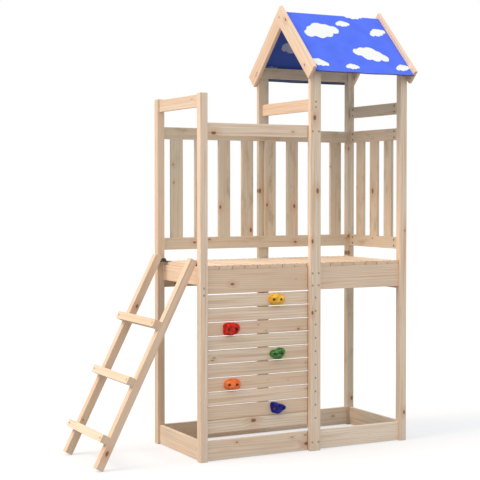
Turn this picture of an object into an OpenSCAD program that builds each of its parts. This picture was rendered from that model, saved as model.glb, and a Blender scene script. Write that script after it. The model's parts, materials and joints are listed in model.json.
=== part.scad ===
// Wooden climbing frame: a raised deck on posts, with a ladder, a climbing wall,
// slatted guards and a small tower under a cloth roof.
// The pieces are drawn from the ladder end's front corner, with X along the deck,
// Y from front to back and Z up, and the whole is then centred over the origin.

/* [Frame] */
// Length over the corner posts
frame_l = 1105; // [950:1:1400]
// Width over the corner posts
frame_w = 504; // [460:1:640]
// Side of the square corner posts
post_s = 36; // [32:1:46]
// Height of the two posts beside the ladder, over the guards
ladder_post_h = 131; // [95:1:250]
// Height of the posts and uprights that carry the roof, over the guards
tower_post_h = 273; // [230:1:440]
// Thickness of all boards
board_t = 16; // [14:0.5:20]
// Depth of the front and back boards behind the posts' outer faces
board_inset = 13; // [8:0.5:16]
// Depth of the boards at both ends behind the posts' outer faces
end_inset = 10; // [6:0.5:16]

/* [Middle uprights] */
// Width of the flat uprights
upright_w = 55; // [46:1:70]
// Thickness of the flat uprights
upright_t = 23; // [18:1:32]
// Distance from the ladder end to the uprights
bay_l = 560; // [480:1:620]

/* [Kerbs] */
// Height of the kerb boards
kerb_h = 88; // [60:1:105]
// Space under the kerb boards
kerb_lift = 3; // [1:0.5:8]

/* [Deck] */
// Height of the deck's top over the ground
deck_h = 873; // [820:1:900]
// Thickness of the deck planks
plank_t = 16; // [14:0.5:22]
// Number of deck planks
plank_count = 16; // [12:1:20]
// Gap between deck planks
plank_gap = 2.4; // [1:0.2:6]
// Height of the front and back deck beams
beam_h = 108; // [80:1:120]
// Height of the deck beam at the ladder end
end_beam_h = 72; // [60:1:100]
// Height of the deck beam at the far end
far_beam_h = 118; // [90:1:130]
// Depth of the end beams behind the posts' outer faces
end_beam_inset = 26; // [22:0.5:31]

/* [Climbing wall] */
// Number of climbing wall boards
wall_count = 10; // [9:1:10]
// Gap between climbing wall boards
wall_gap = 4.4; // [1:0.2:6]
// Gap between the top wall board and the deck beam
wall_drop = 6; // [2:0.5:8]
// Gap between the kerb and the lowest wall board
wall_lift = 33.4; // [5:0.2:60]
// Depth of the batten that stands on edge behind the left ends of the wall boards
batten_w = 20; // [14:1:24]

/* [Climbing holds] */
// Reach of the holds out from the wall
hold_reach = 38; // [34:1:48]
// Plastic under the bolt heads
hold_seat = 16; // [12:1:18]
// Thickness of a hold at its rim
hold_skirt = 9; // [6:1:14]
// Distance between the two bolts of a hold
bolt_spacing = 36; // [32:1:38]
// Number of wall boards from the top down to the yellow hold
yellow_board_count = 1; // [1:1:9]
// Width of the yellow hold
yellow_w = 86; // [80:1:100]
// Height of the yellow hold
yellow_h = 54; // [48:1:58]
// Yellow hold's middle, from the ladder end
yellow_x = 382; // [300:1:430]
// Number of wall boards from the top down to the red hold
red_board_count = 3; // [1:1:9]
// Width of the red hold
red_w = 85; // [80:1:100]
// Height of the red hold
red_h = 58; // [50:1:59]
// Red hold's middle, from the ladder end
red_x = 151; // [145:1:250]
// Number of wall boards from the top down to the green hold
green_board_count = 5; // [1:1:9]
// Width of the green hold
green_w = 78; // [76:1:100]
// Height of the green hold
green_h = 52; // [48:1:58]
// Green hold's middle, from the ladder end
green_x = 387; // [300:1:430]
// Number of wall boards from the top down to the orange hold
orange_board_count = 7; // [1:1:9]
// Width of the orange hold
orange_w = 82; // [78:1:100]
// Height of the orange hold
orange_h = 58; // [50:1:59]
// Orange hold's middle, from the ladder end
orange_x = 155; // [145:1:250]
// Number of wall boards from the top down to the blue hold
blue_board_count = 9; // [1:1:9]
// Width of the blue hold
blue_w = 78; // [76:1:100]
// Height of the blue hold
blue_h = 55; // [48:1:58]
// Blue hold's middle, from the ladder end
blue_x = 390; // [300:1:430]

/* [Guards] */
// Height of the guard rails
rail_h = 57; // [45:1:70]
// Height of the guards over the deck
guard_h = 639; // [560:1:690]
// Space between the deck and the lower guard rails
rail_lift = 54; // [30:1:90]
// Width of the guard slats
slat_w = 62; // [50:1:75]
// Number of slats in the back guard
back_slat_count = 8; // [6:1:9]
// Space between the back guard's outer slats and the corner posts
slat_end_gap = 38; // [20:1:60]
// Number of slats in the right guard
right_slat_count = 3; // [2:1:4]

/* [Upper boards] */
// Height of the boards across the frame near the top
cross_h = 56; // [45:1:70]
// Drop of the ladder end's top board below the post tops
end_board_drop = 5; // [2:0.5:20]
// Space between the guards and the tower's cross boards
cross_gap = 68; // [30:1:90]

/* [Roof] */
// Slope of the roof in degrees
roof_pitch = 45; // [42:0.5:50]
// Width of the rafters
rafter_w = 75; // [66:0.5:90]
// Reach of the rafters past the posts' front and back faces
rafter_reach = 66; // [55:1:85]
// Height of the rafters' outer edges over the cloth
rafter_rise = 25.5; // [15:0.5:40]
// Side of the square ridge bar
ridge_s = 36; // [26:1:40]
// Thickness of the cloth
cloth_t = 2; // [1:0.5:3]
// Reach of the cloth past the posts' front and back faces
cloth_reach = 60; // [45:1:70]
// Gap between the cloth's side edges and the rafters
cloth_margin = 0.5; // [0.3:0.1:4]
// Radius of the cloth's fold over the ridge
ridge_r = 6; // [4:1:14]
// Height of the cloth over the tops of the uprights
cloth_lift = 20; // [12:0.5:30]
// Height of the eave boards
eave_h = 52; // [42:1:64]
// Drop of the eave boards below the cloth
eave_gap = 10; // [4:0.5:20]

/* [Ladder] */
// Lean of the ladder from upright in degrees
ladder_tilt = 26.8; // [22:0.2:30]
// Side of the square stringers
stringer_s = 36; // [30:1:45]
// Gap between the stringers and the posts beside them
ladder_side_gap = 4.5; // [1:0.5:20]
// Height of the stringers' heads over the deck
ladder_rise = 21.4; // [18:0.2:40]
// Distance from the posts' outer faces to the stringers at deck height
ladder_gap = 5; // [2:1:12]
// Side of the square treads
tread_s = 36; // [30:1:45]
// Number of treads
tread_count = 3; // [2:1:3]
// Distance along the stringers from their feet to the first tread
tread_first = 128; // [90:1:160]
// Distance along the stringers from tread to tread
tread_pitch = 271.5; // [220:0.5:290]

/* [Ladder brackets] */
// Thickness of the bracket's steel
bracket_t = 3; // [2:0.5:4]
// Width of a bracket
bracket_w = 30; // [24:1:34]
// Height of a bracket over the deck
bracket_rise = 17; // [15:0.5:18]
// Length of a bracket's foot on the first deck plank
bracket_lap = 18; // [14:1:30]
// Length of a bracket's rib along its top
rib_top_l = 20; // [10:1:24]
// Length of a bracket's rib along its foot
rib_foot_l = 38; // [28:1:40]

/* [Fasteners] */
// Diameter of the screws
screw_d = 4.5; // [3.5:0.5:5]
// Diameter of the screw heads
screw_head_d = 9; // [7:0.5:10]
// Height of the screw heads
screw_head_h = 2.6; // [2:0.2:3]
// Depth of the screws in the second timber
screw_bite = 12; // [8:0.5:13]
// Diameter of the hold bolts
bolt_d = 8; // [6:0.5:9]
// Diameter of the hold bolts' heads
bolt_head_d = 13; // [11:0.5:14]
// Height of the hold bolts' heads
bolt_head_h = 8; // [5:0.5:9]
// Width of the nuts across their corners
nut_d = 15; // [13:0.5:18]
// Height of the nuts
nut_h = 6.5; // [4:0.5:8]

/* [Clearances] */
// Clearance round the screws
screw_clear = 0.1; // [0.05:0.05:0.3]
// Clearance round the hold bolts
bolt_clear = 0.2; // [0.1:0.05:0.4]
// Clearance between the cloth and the timber that it lies on
cloth_clear = 0.3; // [0.2:0.05:0.6]

/* [Hidden] */
$fn = 32;
// Overrun of every cut past the face that it leaves
cut = 1;

// Frame
mid_y = frame_w / 2;
inner_l = frame_l - 2 * post_s;
inner_w = frame_w - 2 * post_s;
board_back = board_inset + board_t;
upright_y = board_inset - upright_t;
upright_mid_x = bay_l + upright_w / 2;
upright_far_x = bay_l + upright_w;

// Deck and climbing wall
beam_top = deck_h - plank_t;
beam_z = beam_top - beam_h;
plank_pitch = (inner_l + plank_gap) / plank_count;
plank_w = plank_pitch - plank_gap;
wall_top = beam_z - wall_drop;
wall_low = kerb_lift + kerb_h + wall_lift;
wall_pitch = (wall_top - wall_low + wall_gap) / wall_count;
wall_board_h = wall_pitch - wall_gap;

// Guards
guard_top = deck_h + guard_h;
upper_rail_z = guard_top - rail_h;
lower_rail_z = deck_h + rail_lift;
back_slat_pitch = (inner_l - 2 * slat_end_gap - slat_w) / (back_slat_count - 1);
right_slat_gap = (inner_w - right_slat_count * slat_w) / (right_slat_count + 1);

// Tops of the posts, and the boards near them
ladder_post_top = guard_top + ladder_post_h;
tower_post_top = guard_top + tower_post_h;
cross_z = guard_top + cross_gap;

// Roof: the cloth clears the uprights and meets the right posts, the rafters stand over it
roof_tan = tan(roof_pitch);
roof_cos = cos(roof_pitch);
roof_sin = sin(roof_pitch);
under_ridge_z = tower_post_top + cloth_lift + (mid_y - upright_y) * roof_tan;
over_ridge_z = under_ridge_z + cloth_t / roof_cos;
apex_z = over_ridge_z + rafter_rise;
rafter_run = mid_y + rafter_reach;
cloth_run = mid_y + cloth_reach;
cloth_drop = cloth_clear / roof_cos;
eave_top = under_ridge_z - (mid_y - board_inset) * roof_tan - eave_gap;
eave_z = eave_top - eave_h;
ridge_top = under_ridge_z - ridge_s / 2 * roof_tan - cloth_drop;
ridge_z = ridge_top - ridge_s;
rafter_joint = rafter_w / (2 * roof_sin);
right_post_top = under_ridge_z - mid_y * roof_tan - cloth_drop;
left_gable_x = bay_l - board_t;
fold_steps = 10;

// Ladder: its stringers pass the deck's end at deck height
ladder_tan = tan(ladder_tilt);
ladder_cos = cos(ladder_tilt);
ladder_run = ladder_gap + deck_h * ladder_tan;
stringer_l = (deck_h + ladder_rise) / ladder_cos;
ladder_front = post_s + ladder_side_gap;
ladder_back = frame_w - ladder_front;
stringer_mids = [ladder_front + stringer_s / 2, ladder_back - stringer_s / 2];

// The middle of the whole, from the ladder's feet to the right gable
mid_x = (frame_l + board_t - ladder_run - stringer_s * ladder_cos) / 2;

// Places of the screws on the middle uprights, as [x, z]
pair_shares = [0.2, 0.8];
beam_fix_shares = [0.2, 0.72];
kerb_fix_share = 0.43;
cross_fix_shares = [0.28, 0.72];
pair_xs = [for (s = pair_shares) bay_l + upright_w * s];
wall_fix = [for (i = [1:wall_count]) [upright_mid_x, wall_board_z(i) + wall_board_h / 2]];
beam_fix = [for (x = pair_xs, s = beam_fix_shares) [x, beam_z + beam_h * s]];
kerb_fix = [for (x = pair_xs) [x, kerb_lift + kerb_h * kerb_fix_share]];
upper_rail_fix = [for (x = pair_xs) [x, upper_rail_z + rail_h / 2]];
lower_rail_fix = [for (x = pair_xs) [x, lower_rail_z + rail_h / 2]];
cross_fix = [for (s = cross_fix_shares) [upright_mid_x, cross_z + cross_h * s]];
eave_fix = [[upright_mid_x, (eave_z + tower_post_top) / 2]];
front_fix = concat(wall_fix, beam_fix, kerb_fix, upper_rail_fix, cross_fix, eave_fix);
back_fix = concat(beam_fix, kerb_fix, upper_rail_fix, lower_rail_fix, cross_fix, eave_fix);

// Places of the screws on the gables, as [y, z]: in the ridge bar, the eave board and the post
ridge_fix = [mid_y + ridge_s / 4, ridge_top - ridge_s / 4];
left_gable_fix = [board_inset + board_t / 2, eave_z + eave_h / 2];
right_gable_fix = gable_fix(post_s / 2);

// Places of other screws
deck_fix_shares = [0.25, 0.75];
post_fix_shares = [-0.04, 0.25];
bracket_fix_s = (deck_h + (bracket_rise + bracket_t) / 2) / ladder_cos;

// Holds: [board, middle x, width, height, lobes], with each lobe's place, radius and reach as
// shares of the room left beside it, of half the height and of the reach
oval_shares = [[-1, -0.3, 0.82, 0.84], [1, 0.3, 0.8, 0.8], [0, 0, 1, 1]];
block_shares = [
    [-1, 1, 0.56, 0.84], [-1, -1, 0.56, 0.94], [1, 1, 0.6, 0.8], [0.7, -1, 0.5, 0.8], [0, 0, 0.8, 1]
];
bean_shares = [[-1, -0.2, 0.78, 0.9], [1, 1, 0.66, 1], [0.2, -1, 0.7, 0.86]];
cheek_shares = [[-1, -0.7, 0.66, 0.9], [-0.7, 0.8, 0.56, 0.76], [1, 1, 0.62, 0.86], [0.9, -1, 0.6, 1]];
wedge_shares = [[-0.9, 1, 0.5, 0.86], [-1, -0.4, 0.66, 0.9], [1, -0.1, 0.6, 0.84], [0, -1, 0.56, 1]];
yellow = [yellow_board_count, yellow_x, yellow_w, yellow_h, oval_shares];
red = [red_board_count, red_x, red_w, red_h, block_shares];
green = [green_board_count, green_x, green_w, green_h, bean_shares];
orange = [orange_board_count, orange_x, orange_w, orange_h, cheek_shares];
blue = [blue_board_count, blue_x, blue_w, blue_h, wedge_shares];
holds = [yellow, red, green, orange, blue];
lobe_top_share = 0.62;
lobe_fn = 20;

// Colours
pine = [0.93, 0.8, 0.62];
pale_pine = [0.97, 0.86, 0.7];
steel = [0.72, 0.7, 0.66];
dark_steel = [0.2, 0.17, 0.15];
cloth_blue = [0.33, 0.46, 0.95];

// Lower edge of a climbing wall board, counted from the top
function wall_board_z(i) = wall_top - (i - 1) * wall_pitch - wall_board_h;
// Middle of the board that a hold sits on
function hold_z(h) = wall_board_z(h[0]) + wall_board_h / 2;
// Near edge of a deck plank
function plank_x(i) = post_s + (i - 1) * plank_pitch;
// Place of a tread along the stringers
function tread_at(k) = tread_first + (k - 1) * tread_pitch;
// X of the stringers' deck side at a height
function stringer_x(z) = z * ladder_tan - ladder_run;
// Screw through a rafter, midway between the rafter's lower edge and the top of the post behind it
function gable_fix(y) = [y, (apex_z - rafter_w / roof_cos - (mid_y - y) * roof_tan + right_post_top) / 2];
// Points of the cloth's fold over the ridge, from front to back
function fold(r) = [
    for (k = [0:fold_steps])
        let (turn = roof_pitch - 2 * roof_pitch * k / fold_steps)
            [mid_y - r * sin(turn), under_ridge_z - ridge_r / roof_cos + r * cos(turn)]
];
function reversed(list) = [for (k = [len(list) - 1:-1:0]) list[k]];

// Placing

module centred() {
    translate([-mid_x, -mid_y, 0])
        children();
}

module to_back() {
    translate([0, frame_w, 0])
        mirror([0, 1, 0])
            children();
}

module to_right() {
    translate([frame_l, 0, 0])
        mirror([1, 0, 0])
            children();
}

module on_ladder() {
    translate([-ladder_run, 0, 0])
        rotate([0, ladder_tilt, 0])
            children();
}

// Facing the front, the left or the right, for whatever stands on +Z
module face_front() {
    rotate([90, 0, 0])
        children();
}

module face_left() {
    rotate([0, -90, 0])
        children();
}

module face_right() {
    rotate([0, 90, 0])
        children();
}

// An outline in Y and Z, carried along X
module along_x(length) {
    rotate([90, 0, 90])
        linear_extrude(length)
            children();
}

// A timber between its lowest and highest corners
module timber(low, high) {
    translate(low)
        cube(high - low);
}

// Fasteners

// A screw with its head flush at the origin, through one timber and into the next
module screw(through) {
    translate([0, 0, -screw_head_h])
        cylinder(h = screw_head_h, d1 = screw_d, d2 = screw_head_d);
    translate([0, 0, -through - screw_bite])
        cylinder(h = through + screw_bite, d = screw_d);
}

module screw_hole(through) {
    hole_d = screw_d + 2 * screw_clear;
    mouth_d = screw_head_d + 2 * screw_clear;
    translate([0, 0, -screw_head_h])
        cylinder(h = screw_head_h, d1 = hole_d, d2 = mouth_d);
    cylinder(h = cut, d = mouth_d);
    translate([0, 0, -through - screw_bite - screw_clear])
        cylinder(h = through + screw_bite, d = hole_d);
}

module upright_places(places) {
    for (p = places)
        translate([p[0], upright_y, p[1]])
            face_front()
                children();
}

module left_gable_place(p) {
    translate([left_gable_x, p[0], p[1]])
        face_left()
            children();
}

module right_gable_place(p) {
    translate([frame_l + board_t, p[0], p[1]])
        face_right()
            children();
}

module deck_places() {
    for (i = [1:plank_count], s = deck_fix_shares)
        translate([plank_x(i) + plank_w * s, board_inset + board_t / 2, deck_h])
            children();
}

module tread_places() {
    for (k = [1:tread_count], y = stringer_mids)
        on_ladder()
            translate([-stringer_s - tread_s, y, tread_at(k)])
                face_left()
                    children();
}

module bracket_foot_places() {
    for (y = stringer_mids)
        translate([post_s + bracket_lap / 2, y, deck_h + bracket_t])
            children();
}

module bracket_back_places() {
    for (y = stringer_mids)
        on_ladder()
            translate([bracket_t, y, bracket_fix_s])
                face_right()
                    children();
}

module post_places() {
    for (s = post_fix_shares)
        translate([post_s / 2, 0, beam_z + beam_h * s])
            face_front()
                children();
}

module bolt_places(h) {
    for (side = [-1, 1])
        translate([h[1] + side * bolt_spacing / 2, board_inset, hold_z(h)])
            face_front()
                children();
}

module frame_screws() {
    color(steel) {
        upright_places(front_fix)
            screw(upright_t);
        to_back()
            upright_places(back_fix)
                screw(upright_t);
        left_gable_place(ridge_fix)
            screw(board_t);
        right_gable_place(ridge_fix)
            screw(board_t);
        left_gable_place(left_gable_fix)
            screw(board_t);
        right_gable_place(right_gable_fix)
            screw(board_t);
        to_back() {
            left_gable_place(left_gable_fix)
                screw(board_t);
            right_gable_place(right_gable_fix)
                screw(board_t);
        }
        tread_places()
            screw(tread_s);
        bracket_foot_places()
            screw(bracket_t);
        bracket_back_places()
            screw(bracket_t);
        post_places()
            screw(post_s / 2);
    }
}

module deck_screws() {
    color(steel) {
        deck_places()
            screw(plank_t);
        to_back()
            deck_places()
                screw(plank_t);
    }
}

// A bolt from the seat in a hold to its nut behind the wall
module hold_bolts() {
    color(steel)
        for (h = holds)
            bolt_places(h) {
                translate([0, 0, hold_seat])
                    cylinder(h = bolt_head_h, d = bolt_head_d);
                translate([0, 0, -board_t - nut_h])
                    cylinder(h = hold_seat + board_t + nut_h, d = bolt_d);
                difference() {
                    translate([0, 0, -board_t - nut_h])
                        cylinder(h = nut_h, d = nut_d, $fn = 6);
                    translate([0, 0, -board_t - nut_h - cut])
                        cylinder(h = nut_h + 2 * cut, d = bolt_d + 2 * bolt_clear);
                }
            }
}

// Posts and uprights

module left_post() {
    color(pine)
        timber([0, 0, 0], [post_s, post_s, ladder_post_top]);
}

module front_left_post() {
    color(pine)
        difference() {
            left_post();
            post_places()
                screw_hole(post_s / 2);
        }
}

module right_post() {
    color(pine)
        difference() {
            timber([frame_l - post_s, 0, 0], [frame_l, post_s, right_post_top]);
            right_gable_place(right_gable_fix)
                screw_hole(board_t);
        }
}

module middle_upright(places) {
    color(pine)
        difference() {
            timber([bay_l, upright_y, 0], [upright_far_x, board_inset, tower_post_top]);
            upright_places(places)
                screw_hole(upright_t);
        }
}

// Kerbs and deck

// A front board between two places along X, butted on the post or on its neighbour
module front_board(x1, x2, z, height) {
    timber([x1, board_inset, z], [x2, board_back, z + height]);
}

// A board between the two posts of the ladder end
module end_board(inset, z, height) {
    timber([inset, post_s, z], [inset + board_t, frame_w - post_s, z + height]);
}

module front_kerb(x1, x2) {
    color(pine)
        difference() {
            front_board(x1, x2, kerb_lift, kerb_h);
            upright_places(kerb_fix)
                screw_hole(upright_t);
        }
}

module left_kerb() {
    front_kerb(post_s, upright_mid_x);
}

module right_kerb() {
    front_kerb(upright_mid_x, frame_l - post_s);
}

module end_kerb() {
    color(pine)
        end_board(end_inset, kerb_lift, kerb_h);
}

module front_beam(x1, x2) {
    color(pine)
        difference() {
            front_board(x1, x2, beam_z, beam_h);
            upright_places(beam_fix)
                screw_hole(upright_t);
            deck_places()
                screw_hole(plank_t);
        }
}

module left_beam() {
    front_beam(post_s, upright_mid_x);
}

module right_beam() {
    front_beam(upright_mid_x, frame_l - post_s);
}

module end_beam(height) {
    color(pine)
        end_board(end_beam_inset, beam_top - height, height);
}

module deck_planks() {
    color(pale_pine)
        difference() {
            for (i = [1:plank_count])
                let (x = plank_x(i))
                    timber([x, board_inset, beam_top], [x + plank_w, frame_w - board_inset, deck_h]);
            deck_places()
                screw_hole(plank_t);
            to_back()
                deck_places()
                    screw_hole(plank_t);
            bracket_foot_places()
                screw_hole(bracket_t);
        }
}

// Climbing wall

module wall_board(i) {
    color(pine)
        difference() {
            front_board(post_s, upright_far_x, wall_board_z(i), wall_board_h);
            upright_places([wall_fix[i - 1]])
                screw_hole(upright_t);
            for (h = holds)
                if (h[0] == i)
                    bolt_places(h)
                        translate([0, 0, -board_t - cut])
                            cylinder(h = board_t + 2 * cut, d = bolt_d + 2 * bolt_clear);
        }
}

module wall_batten() {
    color(pine)
        timber([post_s, board_back, wall_low], [post_s + board_t, board_back + batten_w, wall_top]);
}

// One lump of a hold: a low drum on the wall under a smaller ball
module lobe(radius, reach) {
    ball_r = radius * lobe_top_share;
    cylinder(h = hold_skirt, r = radius, $fn = lobe_fn);
    translate([0, 0, reach - ball_r])
        sphere(r = ball_r, $fn = lobe_fn);
}

module hold(h, tint) {
    half_w = h[2] / 2;
    half_h = h[3] / 2;
    color(tint)
        difference() {
            translate([h[1], board_inset, hold_z(h)])
                face_front()
                    hull()
                        for (lump = h[4])
                            let (r = lump[2] * half_h)
                                translate([lump[0] * (half_w - r), lump[1] * (half_h - r), 0])
                                    lobe(r, lump[3] * hold_reach);
            bolt_places(h) {
                translate([0, 0, -cut])
                    cylinder(h = hold_seat + 2 * cut, d = bolt_d + 2 * bolt_clear);
                translate([0, 0, hold_seat])
                    cylinder(h = hold_reach, d = bolt_head_d + 2 * bolt_clear);
            }
        }
}

// Guards

module front_guard_rail() {
    color(pine)
        difference() {
            front_board(post_s, upright_far_x, upper_rail_z, rail_h);
            upright_places(upper_rail_fix)
                screw_hole(upright_t);
        }
}

module back_rail(z, places) {
    color(pine)
        to_back()
            difference() {
                front_board(post_s, frame_l - post_s, z, rail_h);
                upright_places(places)
                    screw_hole(upright_t);
            }
}

module back_slats() {
    low = lower_rail_z + rail_h;
    color(pine)
        to_back()
            for (i = [0:back_slat_count - 1])
                let (x = post_s + slat_end_gap + i * back_slat_pitch)
                    front_board(x, x + slat_w, low, upper_rail_z - low);
}

module right_rail(z) {
    color(pine)
        to_right()
            end_board(end_inset, z, rail_h);
}

module right_slats() {
    low = lower_rail_z + rail_h;
    color(pine)
        to_right()
            for (i = [0:right_slat_count - 1])
                let (y = post_s + right_slat_gap + i * (slat_w + right_slat_gap))
                    timber([end_inset, y, low], [end_inset + board_t, y + slat_w, upper_rail_z]);
}

// Upper boards

module ladder_end_board() {
    color(pale_pine)
        end_board(end_inset, ladder_post_top - end_board_drop - cross_h, cross_h);
}

module tower_left_board() {
    x = upright_mid_x - board_t / 2;
    color(pine)
        difference() {
            timber([x, board_inset, cross_z], [x + board_t, frame_w - board_inset, cross_z + cross_h]);
            upright_places(cross_fix)
                screw_hole(upright_t);
            to_back()
                upright_places(cross_fix)
                    screw_hole(upright_t);
        }
}

module tower_right_board() {
    color(pine)
        to_right()
            end_board(end_inset, cross_z, cross_h);
}

module eave_board() {
    color(pine)
        difference() {
            front_board(bay_l, frame_l - post_s, eave_z, eave_h);
            upright_places(eave_fix)
                screw_hole(upright_t);
            left_gable_place(left_gable_fix)
                screw_hole(board_t);
        }
}

// Roof

// The front rafter runs on to the back slope, and the back one butts against it
module front_rafter_outline() {
    foot_z = apex_z - rafter_run * roof_tan;
    polygon([
        [mid_y, apex_z],
        [mid_y - rafter_run, foot_z],
        [mid_y - rafter_run + rafter_w * roof_sin, foot_z - rafter_w * roof_cos],
        [mid_y + rafter_joint, apex_z - rafter_joint * roof_tan]
    ]);
}

module back_rafter_outline() {
    foot_z = apex_z - rafter_run * roof_tan;
    polygon([
        [mid_y + rafter_joint, apex_z - rafter_joint * roof_tan],
        [mid_y, apex_z - rafter_w / roof_cos],
        [mid_y + rafter_run - rafter_w * roof_sin, foot_z - rafter_w * roof_cos],
        [mid_y + rafter_run, foot_z]
    ]);
}

module left_rafter() {
    color(pale_pine)
        translate([left_gable_x, 0, 0])
            along_x(board_t)
                children();
}

module right_rafter() {
    color(pale_pine)
        translate([frame_l, 0, 0])
            along_x(board_t)
                children();
}

module front_left_rafter() {
    difference() {
        left_rafter()
            front_rafter_outline();
        left_gable_place(ridge_fix)
            screw_hole(board_t);
        left_gable_place(left_gable_fix)
            screw_hole(board_t);
    }
}

module back_left_rafter() {
    difference() {
        left_rafter()
            back_rafter_outline();
        to_back()
            left_gable_place(left_gable_fix)
                screw_hole(board_t);
    }
}

module front_right_rafter() {
    difference() {
        right_rafter()
            front_rafter_outline();
        right_gable_place(ridge_fix)
            screw_hole(board_t);
        right_gable_place(right_gable_fix)
            screw_hole(board_t);
    }
}

module back_right_rafter() {
    difference() {
        right_rafter()
            back_rafter_outline();
        to_back()
            right_gable_place(right_gable_fix)
                screw_hole(board_t);
    }
}

module ridge_bar() {
    color(pine)
        difference() {
            timber([bay_l, mid_y - ridge_s / 2, ridge_z], [frame_l, mid_y + ridge_s / 2, ridge_top]);
            left_gable_place(ridge_fix)
                screw_hole(board_t);
            right_gable_place(ridge_fix)
                screw_hole(board_t);
        }
}

// One sheet from eave to eave, folded round over the ridge
module roof_cloth() {
    eave_over = over_ridge_z - cloth_run * roof_tan;
    eave_under = eave_over - cloth_t * roof_cos;
    under_run = cloth_run - cloth_t * roof_sin;
    color(cloth_blue)
        translate([bay_l + cloth_margin, 0, 0])
            along_x(frame_l - bay_l - 2 * cloth_margin)
                polygon(concat(
                    [[mid_y - cloth_run, eave_over]],
                    fold(ridge_r + cloth_t),
                    [[mid_y + cloth_run, eave_over], [mid_y + under_run, eave_under]],
                    reversed(fold(ridge_r)),
                    [[mid_y - under_run, eave_under]]
                ));
}

// Ladder

module front_stringer() {
    color(pine)
        difference() {
            on_ladder()
                timber([-stringer_s, ladder_front, 0], [0, ladder_front + stringer_s, stringer_l]);
            tread_places()
                screw_hole(tread_s);
            bracket_back_places()
                screw_hole(bracket_t);
        }
}

module ladder_treads() {
    color(pale_pine)
        difference() {
            on_ladder()
                for (k = [1:tread_count])
                    let (low = tread_at(k) - tread_s / 2)
                        timber(
                            [-stringer_s - tread_s, ladder_front, low],
                            [-stringer_s, ladder_back, low + tread_s]
                        );
            tread_places()
                screw_hole(tread_s);
        }
}

// A bent steel angle from the stringer's head to the first deck plank, with one rib
module ladder_bracket(y) {
    top = deck_h + bracket_rise;
    floor_z = deck_h + bracket_t;
    plate = bracket_t / ladder_cos;
    heel = [stringer_x(deck_h), deck_h];
    head = [stringer_x(top), top];
    toe_x = post_s + bracket_lap;
    difference() {
        translate([0, y + bracket_w / 2, 0])
            face_front() {
                linear_extrude(bracket_w)
                    polygon([
                        heel,
                        [toe_x, deck_h],
                        [toe_x, floor_z],
                        [stringer_x(floor_z) + plate, floor_z],
                        [stringer_x(top) + plate, top],
                        head
                    ]);
                translate([0, 0, bracket_w - bracket_t])
                    linear_extrude(bracket_t)
                        polygon([
                            heel,
                            [stringer_x(deck_h) + rib_foot_l, deck_h],
                            [stringer_x(top) + rib_top_l, top],
                            head
                        ]);
            }
        bracket_foot_places()
            screw_hole(bracket_t);
        bracket_back_places()
            screw_hole(bracket_t);
    }
}

module ladder_brackets() {
    color(dark_steel)
        for (y = stringer_mids)
            ladder_bracket(y);
}

// The whole, one piece at a time

centred() front_left_post();
centred() to_back() left_post();  // back_left_post
centred() right_post();  // front_right_post
centred() to_back() right_post();  // back_right_post
centred() middle_upright(front_fix);  // front_middle_upright
centred() to_back() middle_upright(back_fix);  // back_middle_upright
centred() left_kerb();  // front_left_kerb
centred() right_kerb();  // front_right_kerb
centred() to_back() left_kerb();  // back_left_kerb
centred() to_back() right_kerb();  // back_right_kerb
centred() end_kerb();  // left_end_kerb
centred() to_right() end_kerb();  // right_end_kerb
centred() left_beam();  // front_left_beam
centred() right_beam();  // front_right_beam
centred() to_back() left_beam();  // back_left_beam
centred() to_back() right_beam();  // back_right_beam
centred() end_beam(end_beam_h);  // left_end_beam
centred() to_right() end_beam(far_beam_h);  // right_end_beam
centred() deck_planks();
for (i = [1:wall_count])
    centred() wall_board(i);
centred() wall_batten();
centred() hold(yellow, "gold");  // yellow_hold
centred() hold(red, "crimson");  // red_hold
centred() hold(green, "seagreen");  // green_hold
centred() hold(orange, "darkorange");  // orange_hold
centred() hold(blue, "mediumblue");  // blue_hold
centred() front_guard_rail();
centred() back_rail(upper_rail_z, upper_rail_fix);  // back_upper_rail
centred() back_rail(lower_rail_z, lower_rail_fix);  // back_lower_rail
centred() back_slats();
centred() right_rail(upper_rail_z);  // right_upper_rail
centred() right_rail(lower_rail_z);  // right_lower_rail
centred() right_slats();
centred() ladder_end_board();
centred() tower_left_board();
centred() tower_right_board();
centred() eave_board();  // front_eave_board
centred() to_back() eave_board();  // back_eave_board
centred() front_left_rafter();
centred() back_left_rafter();
centred() front_right_rafter();
centred() back_right_rafter();
centred() ridge_bar();
centred() roof_cloth();
centred() front_stringer();
centred() to_back() front_stringer();  // back_stringer
centred() ladder_treads();
centred() ladder_brackets();
centred() frame_screws();
centred() deck_screws();
centred() hold_bolts();
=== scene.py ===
# %% [markdown]
# # A wooden climbing frame
# A small garden play tower: a planked deck on posts, a ladder, a boarded climbing wall with plastic
# holds, slatted guards and a pitched cloth roof. The frame that is loaded here has every piece at its
# real place and size. This lesson dresses each of them: timbers get eased edges and grown wood, holds get
# moulded shapes, screws get driven heads, and the roof becomes a sheet of printed cloth.

# %% Load the frame
import json
import math
import random

import bmesh
import bpy
import numpy as np
from mathutils import Matrix, Vector


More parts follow.
